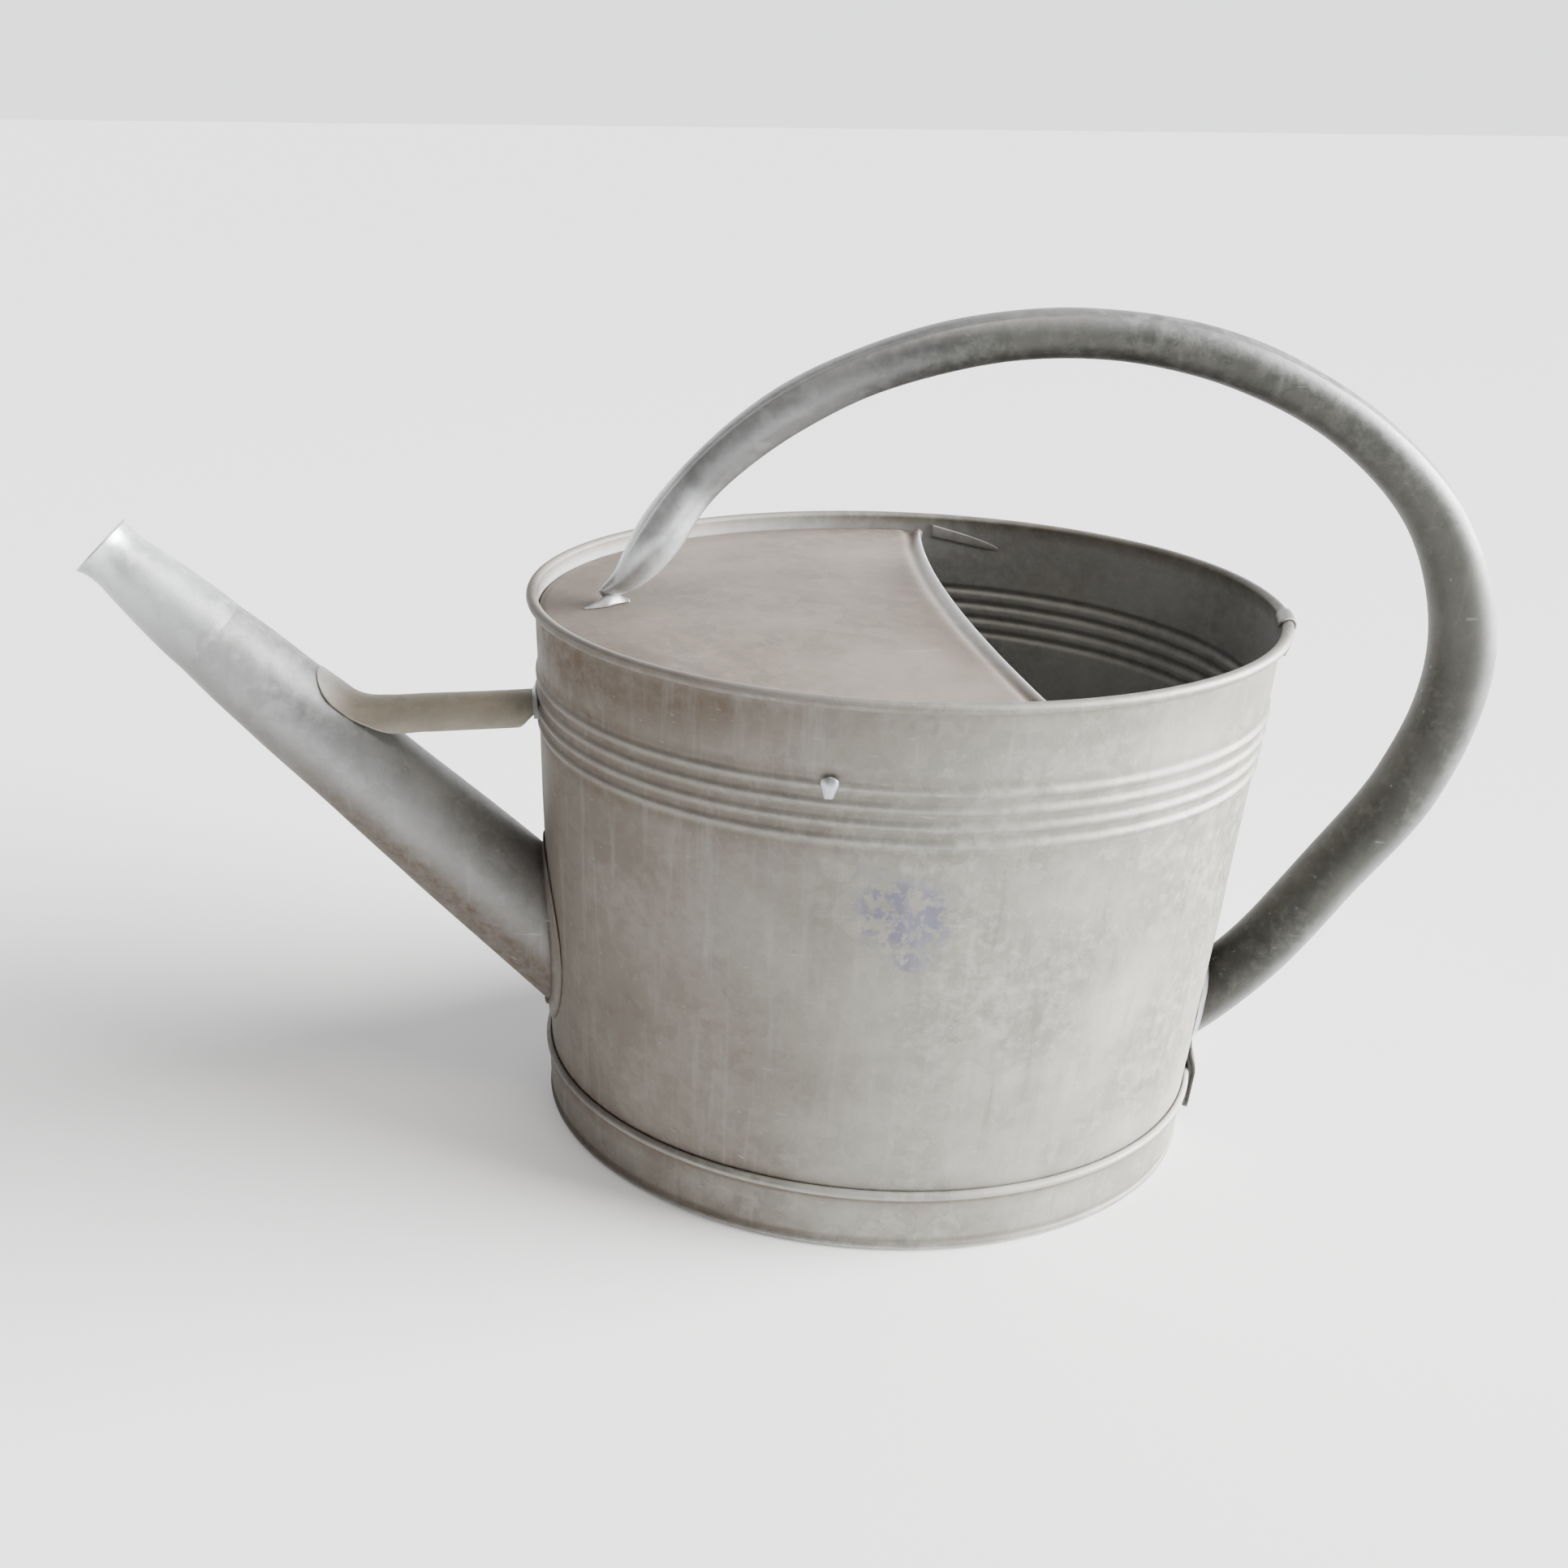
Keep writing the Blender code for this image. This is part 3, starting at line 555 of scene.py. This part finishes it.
def build_foot():
    lift = flare(BAND_RIDGE_Z)
    ridge = arc((lift + 1.1, BAND_RIDGE_Z), 1.75, 75, -70, 12)
    z = np.array((26.8, 25.0, 20.0, 15.0, 10.0, 8.0))
    face = np.stack([flare(z) + GAP + SHEET, z], axis=1)
    hollow = np.array(((1.3, 6.6), (0.85, 5.4), (0.95, 4.6)))
    roll_out = arc((FOOT_OUT, FOOT_Z), FOOT_R, 45, -190, 26)
    roll_in = arc((FOOT_OUT, FOOT_Z), FOOT_R - 0.85, -190, 50, 18)
    back_z = np.array((6.4, 12.0, 20.0, 28.0, 31.7))
    back = np.stack([flare(back_z) + GAP, back_z], axis=1)
    top = np.array(((lift + 0.95, 31.9),))
    profile = np.concatenate([top, ridge, face, hollow, roll_out, roll_in, back])
    grid = around(profile, OVAL_STATIONS)
    up = profile[:, 1]
    outside = np.arange(len(profile)) < len(profile) - len(back) - len(roll_in)
    dents = wobble(grid, 40.0, 0.22, 9) * smooth((up - 6.0) / 6.0) * smooth((29.0 - up) / 4.0)
    angle = np.linspace(0, 2 * math.pi, OVAL_STATIONS, endpoint=False)[:, None]
    x, y = oval(angle, profile[None, :, 0] + dents * outside)
    grid[..., 0], grid[..., 1] = x, y
    dirt_and_shade = 0.85 * np.exp(-(((up - 26.6) / 1.5) ** 2)) + 0.4 * np.exp(-(((up - 5.4) / 1.6) ** 2))
    dirt_and_shade = np.where(outside, dirt_and_shade + 0.1, 0.8)[None, :] + 0.2 * smooth(wobble(grid, 30.0, 1.0, 6) * 2)
    # Painted shade: the band darkens towards the left.
    dirt_and_shade = dirt_and_shade + 0.4 * smooth((-grid[..., 0] - 30.0) / 110.0) * outside
    # The ridge is rubbed and carries a painted highlight; the bottom of the roll is rubbed by the
    # ground.
    rub_and_highlight = 0.12 * (np.abs(up - 30.2) < 1.6) * outside + 0.3 * (up < 2.5)
    skin("foot_band_skin", grid, BODY_ZINC, ["foot_band"], True, True, dirt_and_shade, True, rub_and_highlight)


# ---------------------------------------------------------------- cover


def cover_height(x, y):
    reach = (x / COVER_A) ** 2 + (y / COVER_B) ** 2
    return COVER_Z + COVER_DOME * (1 - np.minimum(1.0, reach))


def lip_line(y):
    return LIP_X + LIP_SKEW * y / LIP_SPAN + LIP_BOW * (y / LIP_SPAN) ** 2


def build_cover():
    edge = flare(COVER_Z) - SHEET - 0.5
    reach = math.acos(0.228)
    count = 160
    v = np.linspace(0, 1, count)
    rim_x, rim_y = oval(reach + (2 * math.pi - 2 * reach) * v, edge - 0.5 * SHEET)
    fold = 1 - np.abs(2 * v - 1)
    lip_y = 117.0 * (1 - 2 * v) * (1 + 0.06 * fold)
    lip_y[0], lip_y[-1] = rim_y[0], rim_y[-1]
    lip_x = lip_line(lip_y)
    rows = []
    for t in np.radians(np.linspace(-170, 90, 18)):
        z = cover_height(lip_x, lip_y) - LIP_R
        rows.append(np.stack([lip_x - LIP_R + LIP_R * np.cos(t), lip_y, z + LIP_R * np.sin(t)], axis=1))
    for t in np.r_[np.linspace(0.012, 0.1, 10), np.linspace(0.12, 1.0, 50)]:
        x = (lip_x - LIP_R) * (1 - t) + rim_x * t
        y = lip_y * (1 - t) + rim_y * t
        z = cover_height(x, y)
        away = np.hypot(x - lip_x, y - lip_y)
        z = z - 1.5 * np.exp(-(((away - 6.0) / 2.8) ** 2)) * smooth(t / 0.02)
        rows.append(np.stack([x, y, z], axis=1))
    for drop in (1.0, 3.0, 5.0):
        rows.append(np.stack([rim_x * 0.999, rim_y * 0.999, cover_height(rim_x, rim_y) - drop], axis=1))
    grid = np.stack(rows, axis=0)
    row = np.arange(len(rows))[:, None]
    dome = smooth((row - 20) / 14.0) * smooth((70 - row) / 8.0)
    grid[..., 2] += wobble(grid, 48.0, 0.9, 3) * dome + wobble(grid, 18.0, 0.12, 4) * dome
    # Grime and painted shade where the cover meets the wall and towards the spout end; painted shade
    # round the handle's foot; a painted shadow in the groove beside the lip.
    nearness = smooth((row - 66) / 10.0)
    spout_end = smooth((-grid[..., 0] - 96.0) / 34.0)
    handle_foot = np.exp(-(((grid[..., 0] + 118) / 26) ** 2 + (grid[..., 1] / 17) ** 2))
    groove = np.exp(-(((row - 24) / 5.0) ** 2))
    dirt_and_shade = 0.3 * nearness + 0.35 * spout_end + 0.15 * handle_foot + 0.5 * groove
    # Rubbed and painted highlight along the lip's roll.
    rub_and_highlight = np.exp(-(((row - 14) / 4.5) ** 2))
    plate("cover_sheet", grid, (-60, 0, 0), 0.8, COVER_ZINC, ["cover"], dirt_and_shade, rub_and_highlight)

    for name, side in (("cover_tab_rear", 1), ("cover_tab_front", -1)):
        u = np.linspace(0, 1, 40)[:, None]
        w = np.linspace(-0.5, 0.5, 12)[None, :]
        z = 249.6 - 6.5 * u + 6.0 * np.sqrt(np.clip(1 - u**4, 0.02, 1)) * (1 - 0.35 * u) * w
        x, y = oval(side * np.radians(75.0 - 12.5 * u) + 0 * w, flare(z) - SHEET - 0.7)
        # Painted highlight: each tab is brighter towards its upper edge.
        plate(name + "_skin", np.stack([x, y, z], axis=2), (0, 0, 240), -0.8, COVER_ZINC,
              [name], 0.1 + 0 * z, 0.5 + 0.5 * w + 0 * z)


# ---------------------------------------------------------------- spout and strut


def meet_wall(start, direction, out):
    """How far along each line the wall's surface, moved out, is reached."""
    low = np.zeros(start.shape[:-1])
    high = low + 80.0
    for _ in range(40):
        middle = 0.5 * (low + high)
        p = start + middle[..., None] * direction
        inside = np.abs(p[..., 0]) < wall_x(p[..., 1], p[..., 2], out)
        high = np.where(inside, middle, high)
        low = np.where(inside, low, middle)
    return high


def tube_ring(angle, s, radius):
    """Points round the spout's axis; angle 0 is its top line and 90 degrees its -Y side."""
    side = np.array((0.0, -1.0, 0.0))
    spoke = np.cos(angle)[..., None] * SPOUT_UP + np.sin(angle)[..., None] * side
    return MOUTH + s[..., None] * SPOUT_DIR + radius[..., None] * spoke


def build_spout():
    angle = np.linspace(0, 2 * math.pi, SPOUT_SIDES, endpoint=False)
    base = tube_ring(
        angle, np.full(SPOUT_SIDES, ROOT_START), np.full(SPOUT_SIDES, ROOT_START_R),
    )
    spread = (TUBE_ROW_R[-1] - ROOT_START_R) / (TUBE_ROW_S[-1] - ROOT_START)
    spoke = (base - (MOUTH + ROOT_START * SPOUT_DIR)) / ROOT_START_R
    line = SPOUT_DIR + spread * spoke
    end = ROOT_START + meet_wall(base, line, GAP)
    rows, dirt_and_shade = [], []
    for t in np.linspace(0, 1, TUBE_RINGS):
        s = TUBE_START + (end - TUBE_START) * t
        rows.append(tube_ring(angle, s, np.interp(s, TUBE_ROW_S, TUBE_ROW_R)))
        # Grime and painted shade: darker towards the root and right at the wall.
        dirt_and_shade.append(0.5 * smooth((s - end + 9) / 9) + 0.42 * smooth((s - 120) / 120))
    outer = np.stack(rows, axis=0)
    seam = np.exp(-(((angle - math.radians(205)) / 0.045) ** 2))
    outer += (0.7 * seam)[None, :, None] * spoke[None]
    hump = np.sin(np.linspace(0, math.pi, TUBE_RINGS))[:, None] ** 0.5
    dents = wobble(outer, 40.0, 0.4, 11) * hump
    inner = outer - SHEET * spoke[None]
    section = np.concatenate([outer + dents[..., None] * spoke[None], inner[::-1]], axis=0)
    # Painted shade on the underside, growing towards the root.
    below = smooth(0.25 - 1.2 * np.cos(angle))[None, :]
    fade = 0.2 + 0.7 * smooth(np.linspace(0, 1, TUBE_RINGS)[:, None] / 0.45)
    bore_dirt = np.full((TUBE_RINGS, SPOUT_SIDES), 0.75)
    dirt_and_shade = np.concatenate([np.stack(dirt_and_shade) + fade * below, bore_dirt], axis=0)
    piece = skin("spout_cone", section, SPOUT_ZINC, ["spout_tube"], True, True, dirt_and_shade)
    turn_outwards(piece)

    radii = cubic(NOZZLE_RADII, NOZZLE_RINGS)
    size = (NOZZLE_RINGS, SPOUT_SIDES)
    s_values = radii[:, 0]
    outer = tube_ring(
        np.broadcast_to(angle, size), np.repeat(s_values[:, None], SPOUT_SIDES, 1),
        np.repeat(radii[:, 1:], SPOUT_SIDES, 1),
    )
    inner = outer - 0.8 * spoke[None]
    section = np.concatenate([outer, inner[::-1]], axis=0)
    # Painted shade on the nozzle's underside.
    dirt_and_shade = np.concatenate([np.zeros(size) + 0.3 * below, np.full(size, 0.7)], axis=0)
    # Rubbed and painted highlight towards the nozzle's tip.
    rub_and_highlight = np.concatenate([0.75 * (1 - smooth(s_values / 75)), np.zeros(NOZZLE_RINGS)])[:, None]
    piece = skin(
        "spout_nozzle_skin", section, SPOUT_ZINC, ["spout_nozzle"], True, True, dirt_and_shade,
        rub_and_highlight=rub_and_highlight,
    )
    turn_outwards(piece)

    root = tube_ring(angle, end, np.interp(end, TUBE_ROW_S, TUBE_ROW_R))
    yc, zc = root[:, 1], root[:, 2]
    out_z = zc - 0.5 * (zc.max() + zc.min())
    size = np.hypot(yc, out_z)
    rows = []
    steps = (
        (0.6, 2.6), (1.1, 1.5), (2.0, 0.95), (3.4, 0.75), (5.2, 0.75), (6.8, 0.7), (7.2, 0.35),
    )
    for t, lift in steps:
        y = yc + yc / size * t
        z = zc + out_z / size * t
        bumps = wobble(np.stack([y * 0, y, z], axis=1), 9.0, 0.18, 15)
        rows.append(np.stack([-wall_x(y, z, GAP + lift + bumps), y, z], axis=1))
    collar = np.stack(rows, axis=0)
    dirt_and_shade = np.array((0.7, 0.5, 0.2, 0.1, 0.15, 0.4, 0.7))[:, None]
    back = collar.copy()
    back[..., 0] = -wall_x(back[..., 1], back[..., 2], GAP)
    section = np.concatenate([collar, back[::-1]], axis=0)
    dirt_and_shade = np.concatenate([dirt_and_shade, dirt_and_shade[::-1]], axis=0)
    piece = skin(
        "spout_root_collar", section, BODY_ZINC, ["spout_collar"], True, True,
        dirt_and_shade + 0.3,
    )
    turn_outwards(piece)


def build_strut():
    normal = SPOUT_UP[[0, 2]]
    stations = []
    for s in (104.0, 108.0, 112.0, 118.0):
        radius = float(np.interp(s, TUBE_ROW_S, TUBE_ROW_R)) + GAP + 0.15 + 0.06 * (s - 104.0)
        axis = MOUTH + SPOUT_DIR * s
        ridge = axis[[0, 2]] + normal * radius
        stations.append((*ridge, *normal, radius, 36.5))
    stations += STRUT_ROWS
    line = cubic(stations, STRUT_RINGS)
    v = np.linspace(-1, 1, 40)
    rows = []
    for i, (rx, rz, nx, nz, radius, half) in enumerate(line):
        tip = math.sqrt(max(0.03, 1 - max(0.0, 1 - i / 14.0) ** 2))
        trimmed = 1 - 0.32 * smooth((i - 90) / 9.0)
        turn = np.radians(half * tip * trimmed) * v
        drop = radius * (1 - np.cos(turn))
        rows.append(np.stack([rx - nx * drop, radius * np.sin(turn), rz - nz * drop], axis=1))
    grid = np.stack(rows, axis=0)
    last = grid[-1]
    last[:, 0] = -wall_x(last[:, 1], last[:, 2], GAP + RIB_OUT)
    step = np.arange(STRUT_RINGS)[:, None]
    grid[..., 2] += wobble(grid, 22.0, 0.25, 21) * smooth(step / 30.0)
    dirt_and_shade = 0.2 * np.exp(-((step / 9.0) ** 2)) + 0.4 * smooth((step - 92) / 8.0)
    # Painted shade along both edges of the arched strut.
    dirt_and_shade = dirt_and_shade + 0.35 * np.abs(v)[None, :] ** 4 * smooth((step - 18) / 12.0)
    rub_and_highlight = 0.45 * (1 - smooth(step / 22.0))
    plate("strut_skin", grid, (-205, 0, 150), 0.85, DULL_ZINC, ["strut"], dirt_and_shade, rub_and_highlight)


# ---------------------------------------------------------------- handle


def build_handle():
    count, sides = 260, 64
    line = cubic(HANDLE_POINTS, count)
    along, up, radius = line.T
    turn = np.array((math.cos(HANDLE_TURN), math.sin(HANDLE_TURN), 0.0))
    side = np.array((math.sin(HANDLE_TURN), -math.cos(HANDLE_TURN), 0.0))
    centre = np.array((HANDLE_FOOT_X, 0, 0)) + along[:, None] * turn
    centre[:, 2] += up
    forward = np.gradient(centre, axis=0)
    forward /= np.linalg.norm(forward, axis=1, keepdims=True)
    outward = np.cross(forward, side)
    outward *= np.sign((outward[:, 2] * (up - 200) + (outward @ turn) * (along - 180)).mean())
    angle = np.linspace(0, 2 * math.pi, sides, endpoint=False)
    leaf = smooth((40 - np.arange(count) * 2.9) / 40)
    wide = radius * (1 + 0.35 * np.sin(math.pi * np.clip(np.arange(count) / 26.0, 0, 1)))
    seam_angle = math.radians(38)
    past = (angle - seam_angle) % (2 * math.pi)
    lap = 0.75 * np.exp(-past / 0.5) * smooth(np.arange(count) / 12.0)[:, None]
    rows = (
        centre[:, None]
        + (np.cos(angle) * (radius[:, None] + lap - 0.2))[..., None] * outward[:, None]
        + (np.sin(angle) * (wide[:, None] + lap - 0.2))[..., None] * side
    )
    dimple = leaf[:, None] * 1.2 * np.exp(-(((angle - math.radians(115)) / 0.7) ** 2))
    rows -= dimple[..., None] * side * 0.6
    dents = wobble(rows, 34.0, 0.35, 31)
    spoke = rows - centre[:, None]
    spoke /= np.maximum(np.linalg.norm(spoke, axis=2, keepdims=True), 1e-6)
    rows += dents[..., None] * spoke
    at_wall = np.abs(rows[..., 0]) < wall_x(rows[..., 1], rows[..., 2], GAP)
    low_end = (rows[..., 2] < 150) & at_wall
    for k in range(sides):
        hit = np.where(low_end[:, k])[0]
        if not len(hit):
            continue
        first = hit[0]
        before, after = rows[first - 1, k], rows[first, k]
        a, b = 0.0, 1.0
        for _ in range(30):
            m = 0.5 * (a + b)
            p = before + (after - before) * m
            if p[0] < wall_x(p[1], p[2], GAP):
                b = m
            else:
                a = m
        rows[first:, k] = before + (after - before) * b
    seam_dirt = np.exp(-((np.minimum(past, 2 * math.pi - past) / 0.07) ** 2))[None, :]
    row = np.arange(count)[:, None]
    foot_dirt = smooth((30 - row) / 30.0) * 0.35
    wall_dirt = smooth((row - 232) / 14.0) * 0.45
    # Painted shade on the inner side of the loop.
    under = 0.25 * smooth(-np.cos(angle))[None, :]
    dirt_and_shade = 0.8 * seam_dirt * smooth(row / 10.0) + foot_dirt + wall_dirt + under
    inner = rows - spoke * 0.9
    section = np.concatenate([rows, inner[::-1]], axis=0)
    dirt_and_shade = np.concatenate([dirt_and_shade, dirt_and_shade[::-1]], axis=0)
    # Rubbed by hands and painted highlight: the front of the foot's leaf and the tube's outer side are
    # brighter.
    facing = smooth(0.5 + np.sin(angle + 0.6))[None, :]
    rub_and_highlight = 1.1 * facing * smooth((25 - row) / 5.0) + 0.32 * facing * smooth((80 - row) / 50.0)
    worn_and_sheen = 0.3 * smooth(np.cos(angle))[None, :] + 0 * row
    rub_and_highlight = np.concatenate([rub_and_highlight + worn_and_sheen, 0 * rub_and_highlight], axis=0)
    piece = skin(
        "handle_hoop", section, HANDLE_ZINC, ["handle_tube"], True, True, dirt_and_shade,
        rub_and_highlight=rub_and_highlight,
    )
    turn_outwards(piece)

    u = np.linspace(-1, 1, 28)[:, None]
    v = np.linspace(0, 1, 70)[None, :]
    z = TONGUE_LOW + TONGUE_LONG * v
    taper = np.sqrt(np.clip(1 - np.clip(1 - 5 * v, 0, 1) ** 2 * 0.8, 0, 1))
    y = TONGUE_Y + u * TONGUE_HALF * taper * (1 + 0.12 * v)
    over = 1 - smooth((z - 28.0) / 16.0)
    crown = 0.5 * (1 - u**2)
    x = wall_x(y, z, GAP + 1.7 + 4.0 * over + crown)
    grid = np.stack([x, y, z + 0 * u], axis=2)
    dirt_and_shade = 0.3 + 0.3 * np.abs(u) ** 6 + 0 * v
    plate(
        "handle_tongue_skin", grid, (0, TONGUE_Y, 25), 1.6, HANDLE_ZINC,
        ["handle_tongue"], dirt_and_shade,
    )


# ---------------------------------------------------------------- solder


def blob(name, grid, centre, thickness, node, dirt_and_shade=0.1):
    plate(name, grid, centre, thickness, SOLDER, [node], dirt_and_shade + 0 * grid[..., 0])


def build_solder():
    turn = np.linspace(0, 2 * math.pi, 73)[:, None]
    ring = np.linspace(0, 1, 12)[None, :]
    y = HANDLE_END_Y + (13.4 + 4.2 * ring) * np.cos(turn)
    z = HANDLE_END_Z + (20.4 + 4.0 * ring) * np.sin(turn)
    lift = 2.4 * (1 - ring) ** 1.6 + 0.3
    lift = lift + wobble(np.stack([0 * y, y, z], axis=2), 7.0, 0.25, 41)
    grid = np.stack([wall_x(y, z, GAP + np.maximum(0.25, lift)), y, z], axis=2)
    blob("solder_handle_rear_skin", grid, (0, -19, 68), 0.25, "solder_handle_rear", 0.3)

    u = np.linspace(0, 1, 44)[:, None]
    w = np.linspace(-1, 1, 20)[None, :]
    x = -138.0 + 20.0 * u + 0 * w
    half = 0.9 + 5.2 * smooth(1.5 * u) - 4.5 * smooth((u - 0.5) / 0.5)
    y = half * w - 7.5 * (1 - smooth(1.4 * u))
    lift = (0.5 + 5.0 * smooth(1.35 * u) * (1 - 0.9 * smooth((u - 0.55) / 0.4))) * (1 - w**2) + 0.25
    base = cover_height(x, y) + 0.1
    grid = np.stack([x, y, base + lift], axis=2)
    grid[..., 2] += wobble(grid, 8.0, 0.3, 42)
    grid[..., 2] = np.maximum(grid[..., 2], base + 0.25)
    blob("solder_handle_front_skin", grid, (-125, 0, 0), 0.2, "solder_handle_front", 0.5)

    turn = np.linspace(0, 2 * math.pi, 49)[:, None]
    ring = np.linspace(0.02, 1, 12)[None, :]
    x = DAB_X + (3.0 + 0.6 * np.sin(3 * turn)) * ring * np.cos(turn)
    z = DAB_Z + (5.6 + 0.8 * np.cos(2 * turn)) * ring * np.sin(turn)
    lift = 1.3 + 1.6 * (1 - ring**2)
    a, b = BASE_A + flare(z) + lift, BASE_B + flare(z) + lift
    grid = np.stack([x, -b * np.sqrt(1 - (x / a) ** 2), z], axis=2)
    blob("solder_repair_dab_skin", grid, (DAB_X, 0, 214), 0.5, "solder_repair_dab", 0.0)

    u = np.linspace(0, 1, 60)[:, None]
    w = np.linspace(0, 1, 10)[None, :]
    turn = np.radians(160 - 140 * u)
    radius = STRUT_R + 0.2 + 3.3 * w
    y = radius * np.cos(turn)
    z = STRUT_WALL_Z - STRUT_R + radius * np.sin(turn)
    lift = 1.4 + 1.6 * (1 - w) ** 1.5
    lift = lift + wobble(np.stack([0 * y, y, z], axis=2), 5.0, 0.2, 44)
    grid = np.stack([-wall_x(y, z, lift), y, z], axis=2)
    blob("solder_strut_wall_skin", grid, (0, 0, STRUT_WALL_Z), 0.6, "solder_strut_wall", 0.3)


# ---------------------------------------------------------------- stage, light and camera


def build_stage():
    mesh = bpy.data.meshes.new("floor")
    half = 12.0
    corners = [(-half, -half, 0), (half, -half, 0), (half, half, 0), (-half, half, 0)]
    mesh.from_pydata(corners, [], [(0, 1, 2, 3)])
    floor = bpy.data.objects.new("floor", mesh)
    bpy.context.scene.collection.objects.link(floor)
    paper = bpy.data.materials.new("matt_white_paper")
    paper.use_nodes = True
    shader = paper.node_tree.nodes["Principled BSDF"]
    shader.inputs["Base Color"].default_value = linear("#FAFAFA")
    shader.inputs["Emission Color"].default_value = (1.0, 1.0, 1.0, 1.0)
    shader.inputs["Emission Strength"].default_value = 0.2
    shader.inputs["Roughness"].default_value = 0.9
    shader.inputs["Specular IOR Level"].default_value = 0.1
    mesh.materials.append(paper)


def soft_light(name, place, target, size, power, colour):
    data = bpy.data.lights.new(name, "AREA")
    data.shape = "RECTANGLE"
    data.size, data.size_y = size
    data.energy = power
    data.color = linear(colour)[:3]
    lamp = bpy.data.objects.new(name, data)
    lamp.location = place
    lamp.rotation_euler = (Vector(target) - Vector(place)).to_track_quat("-Z", "Y").to_euler()
    bpy.context.scene.collection.objects.link(lamp)


def build_light():
    """A bright room: white on the right and behind, dim and brownish in front on the left."""
    world = bpy.data.worlds.new("white_room")
    world.use_nodes = True
    bpy.context.scene.world = world
    tree = world.node_tree
    back = tree.nodes["Background"]
    way = add_node(tree, "ShaderNodeTexCoord").outputs["Generated"]
    side = add_node(
        tree, "ShaderNodeVectorMath", {0: way, 1: (0.82, 0.57, 0.0)}, operation="DOT_PRODUCT",
    ).outputs["Value"]
    shade = add_node(
        tree, "ShaderNodeMapRange", {"Value": side, "From Min": -0.75, "From Max": 0.15},
        interpolation_type="SMOOTHSTEP",
    ).outputs[0]
    colour = add_node(
        tree, "ShaderNodeMix", {"Factor": shade, "A": linear("#685C52"), "B": linear("#F7F8FA")},
        data_type="RGBA",
    ).outputs[2]
    tree.links.new(colour, back.inputs["Color"])
    behind = add_node(
        tree, "ShaderNodeVectorMath", {0: way, 1: (0.0, 1.0, 0.0)}, operation="DOT_PRODUCT",
    ).outputs["Value"]
    strength = add_node(
        tree, "ShaderNodeMapRange",
        {"Value": behind, "From Min": 0.6, "From Max": 0.85, "To Min": 0.55, "To Max": 2.2},
    ).outputs[0]
    tree.links.new(strength, back.inputs["Strength"])
    sun = bpy.data.lights.new("high_window", "SUN")
    sun.energy = 29.0
    sun.angle = math.radians(45)
    lamp = bpy.data.objects.new("high_window", sun)
    lamp.rotation_euler = Vector((-1.0, 0.05, -0.22)).to_track_quat("-Z", "Y").to_euler()
    bpy.context.scene.collection.objects.link(lamp)
    soft_light("skylight", (0.1, -0.25, 1.1), (0.2, 0.06, 0.18), (0.3, 0.3), 3, "#FFF4E6")
    soft_light("window", (1.7, -0.5, 1.1), (0.05, 0, 0.15), (1.0, 1.4), 14, "#FFFFFF")


CAMERA_PLACE = ((-142.61 + BODY_X) * MM, -0.61476, 0.47134)
CAMERA_YAW, CAMERA_PITCH, CAMERA_ROLL = 0.010698, 0.357881, -0.011179


def build_camera():
    """A camera 0.47 m up, in front and left of the middle, tipped about 20 degrees down."""
    yaw, pitch, roll = CAMERA_YAW, CAMERA_PITCH, CAMERA_ROLL
    level = math.cos(pitch)
    forward = Vector((math.sin(yaw) * level, math.cos(yaw) * level, -math.sin(pitch)))
    right = Vector((math.cos(yaw), -math.sin(yaw), 0))
    down = forward.cross(right)
    right, down = (
        math.cos(roll) * right + math.sin(roll) * down,
        -math.sin(roll) * right + math.cos(roll) * down,
    )
    data = bpy.data.cameras.new("camera")
    data.sensor_width = 36.0
    data.lens = 34.382
    data.shift_x = 0.12508
    data.shift_y = -0.10273
    data.clip_end = 60.0
    camera = bpy.data.objects.new("camera", data)
    turn = Matrix((right, -down, -forward)).transposed().to_4x4()
    camera.matrix_world = Matrix.Translation(Vector(CAMERA_PLACE)) @ turn
    bpy.context.scene.collection.objects.link(camera)
    bpy.context.scene.camera = camera


def repaint(node, material):
    """A CAD node that stays in view takes this finish."""
    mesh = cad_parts[node].data
    mesh.materials.clear()
    mesh.materials.append(material)


build_camera()
build_stage()
build_light()
build_body()
build_seam_clip()
build_foot()
build_cover()
build_spout()
build_strut()
build_handle()
build_solder()
for wire in ("rim_wire", "foot_wire", "cover_lip_wire"):
    repaint(wire, WIRE)
repaint("base_plate", DULL_ZINC)
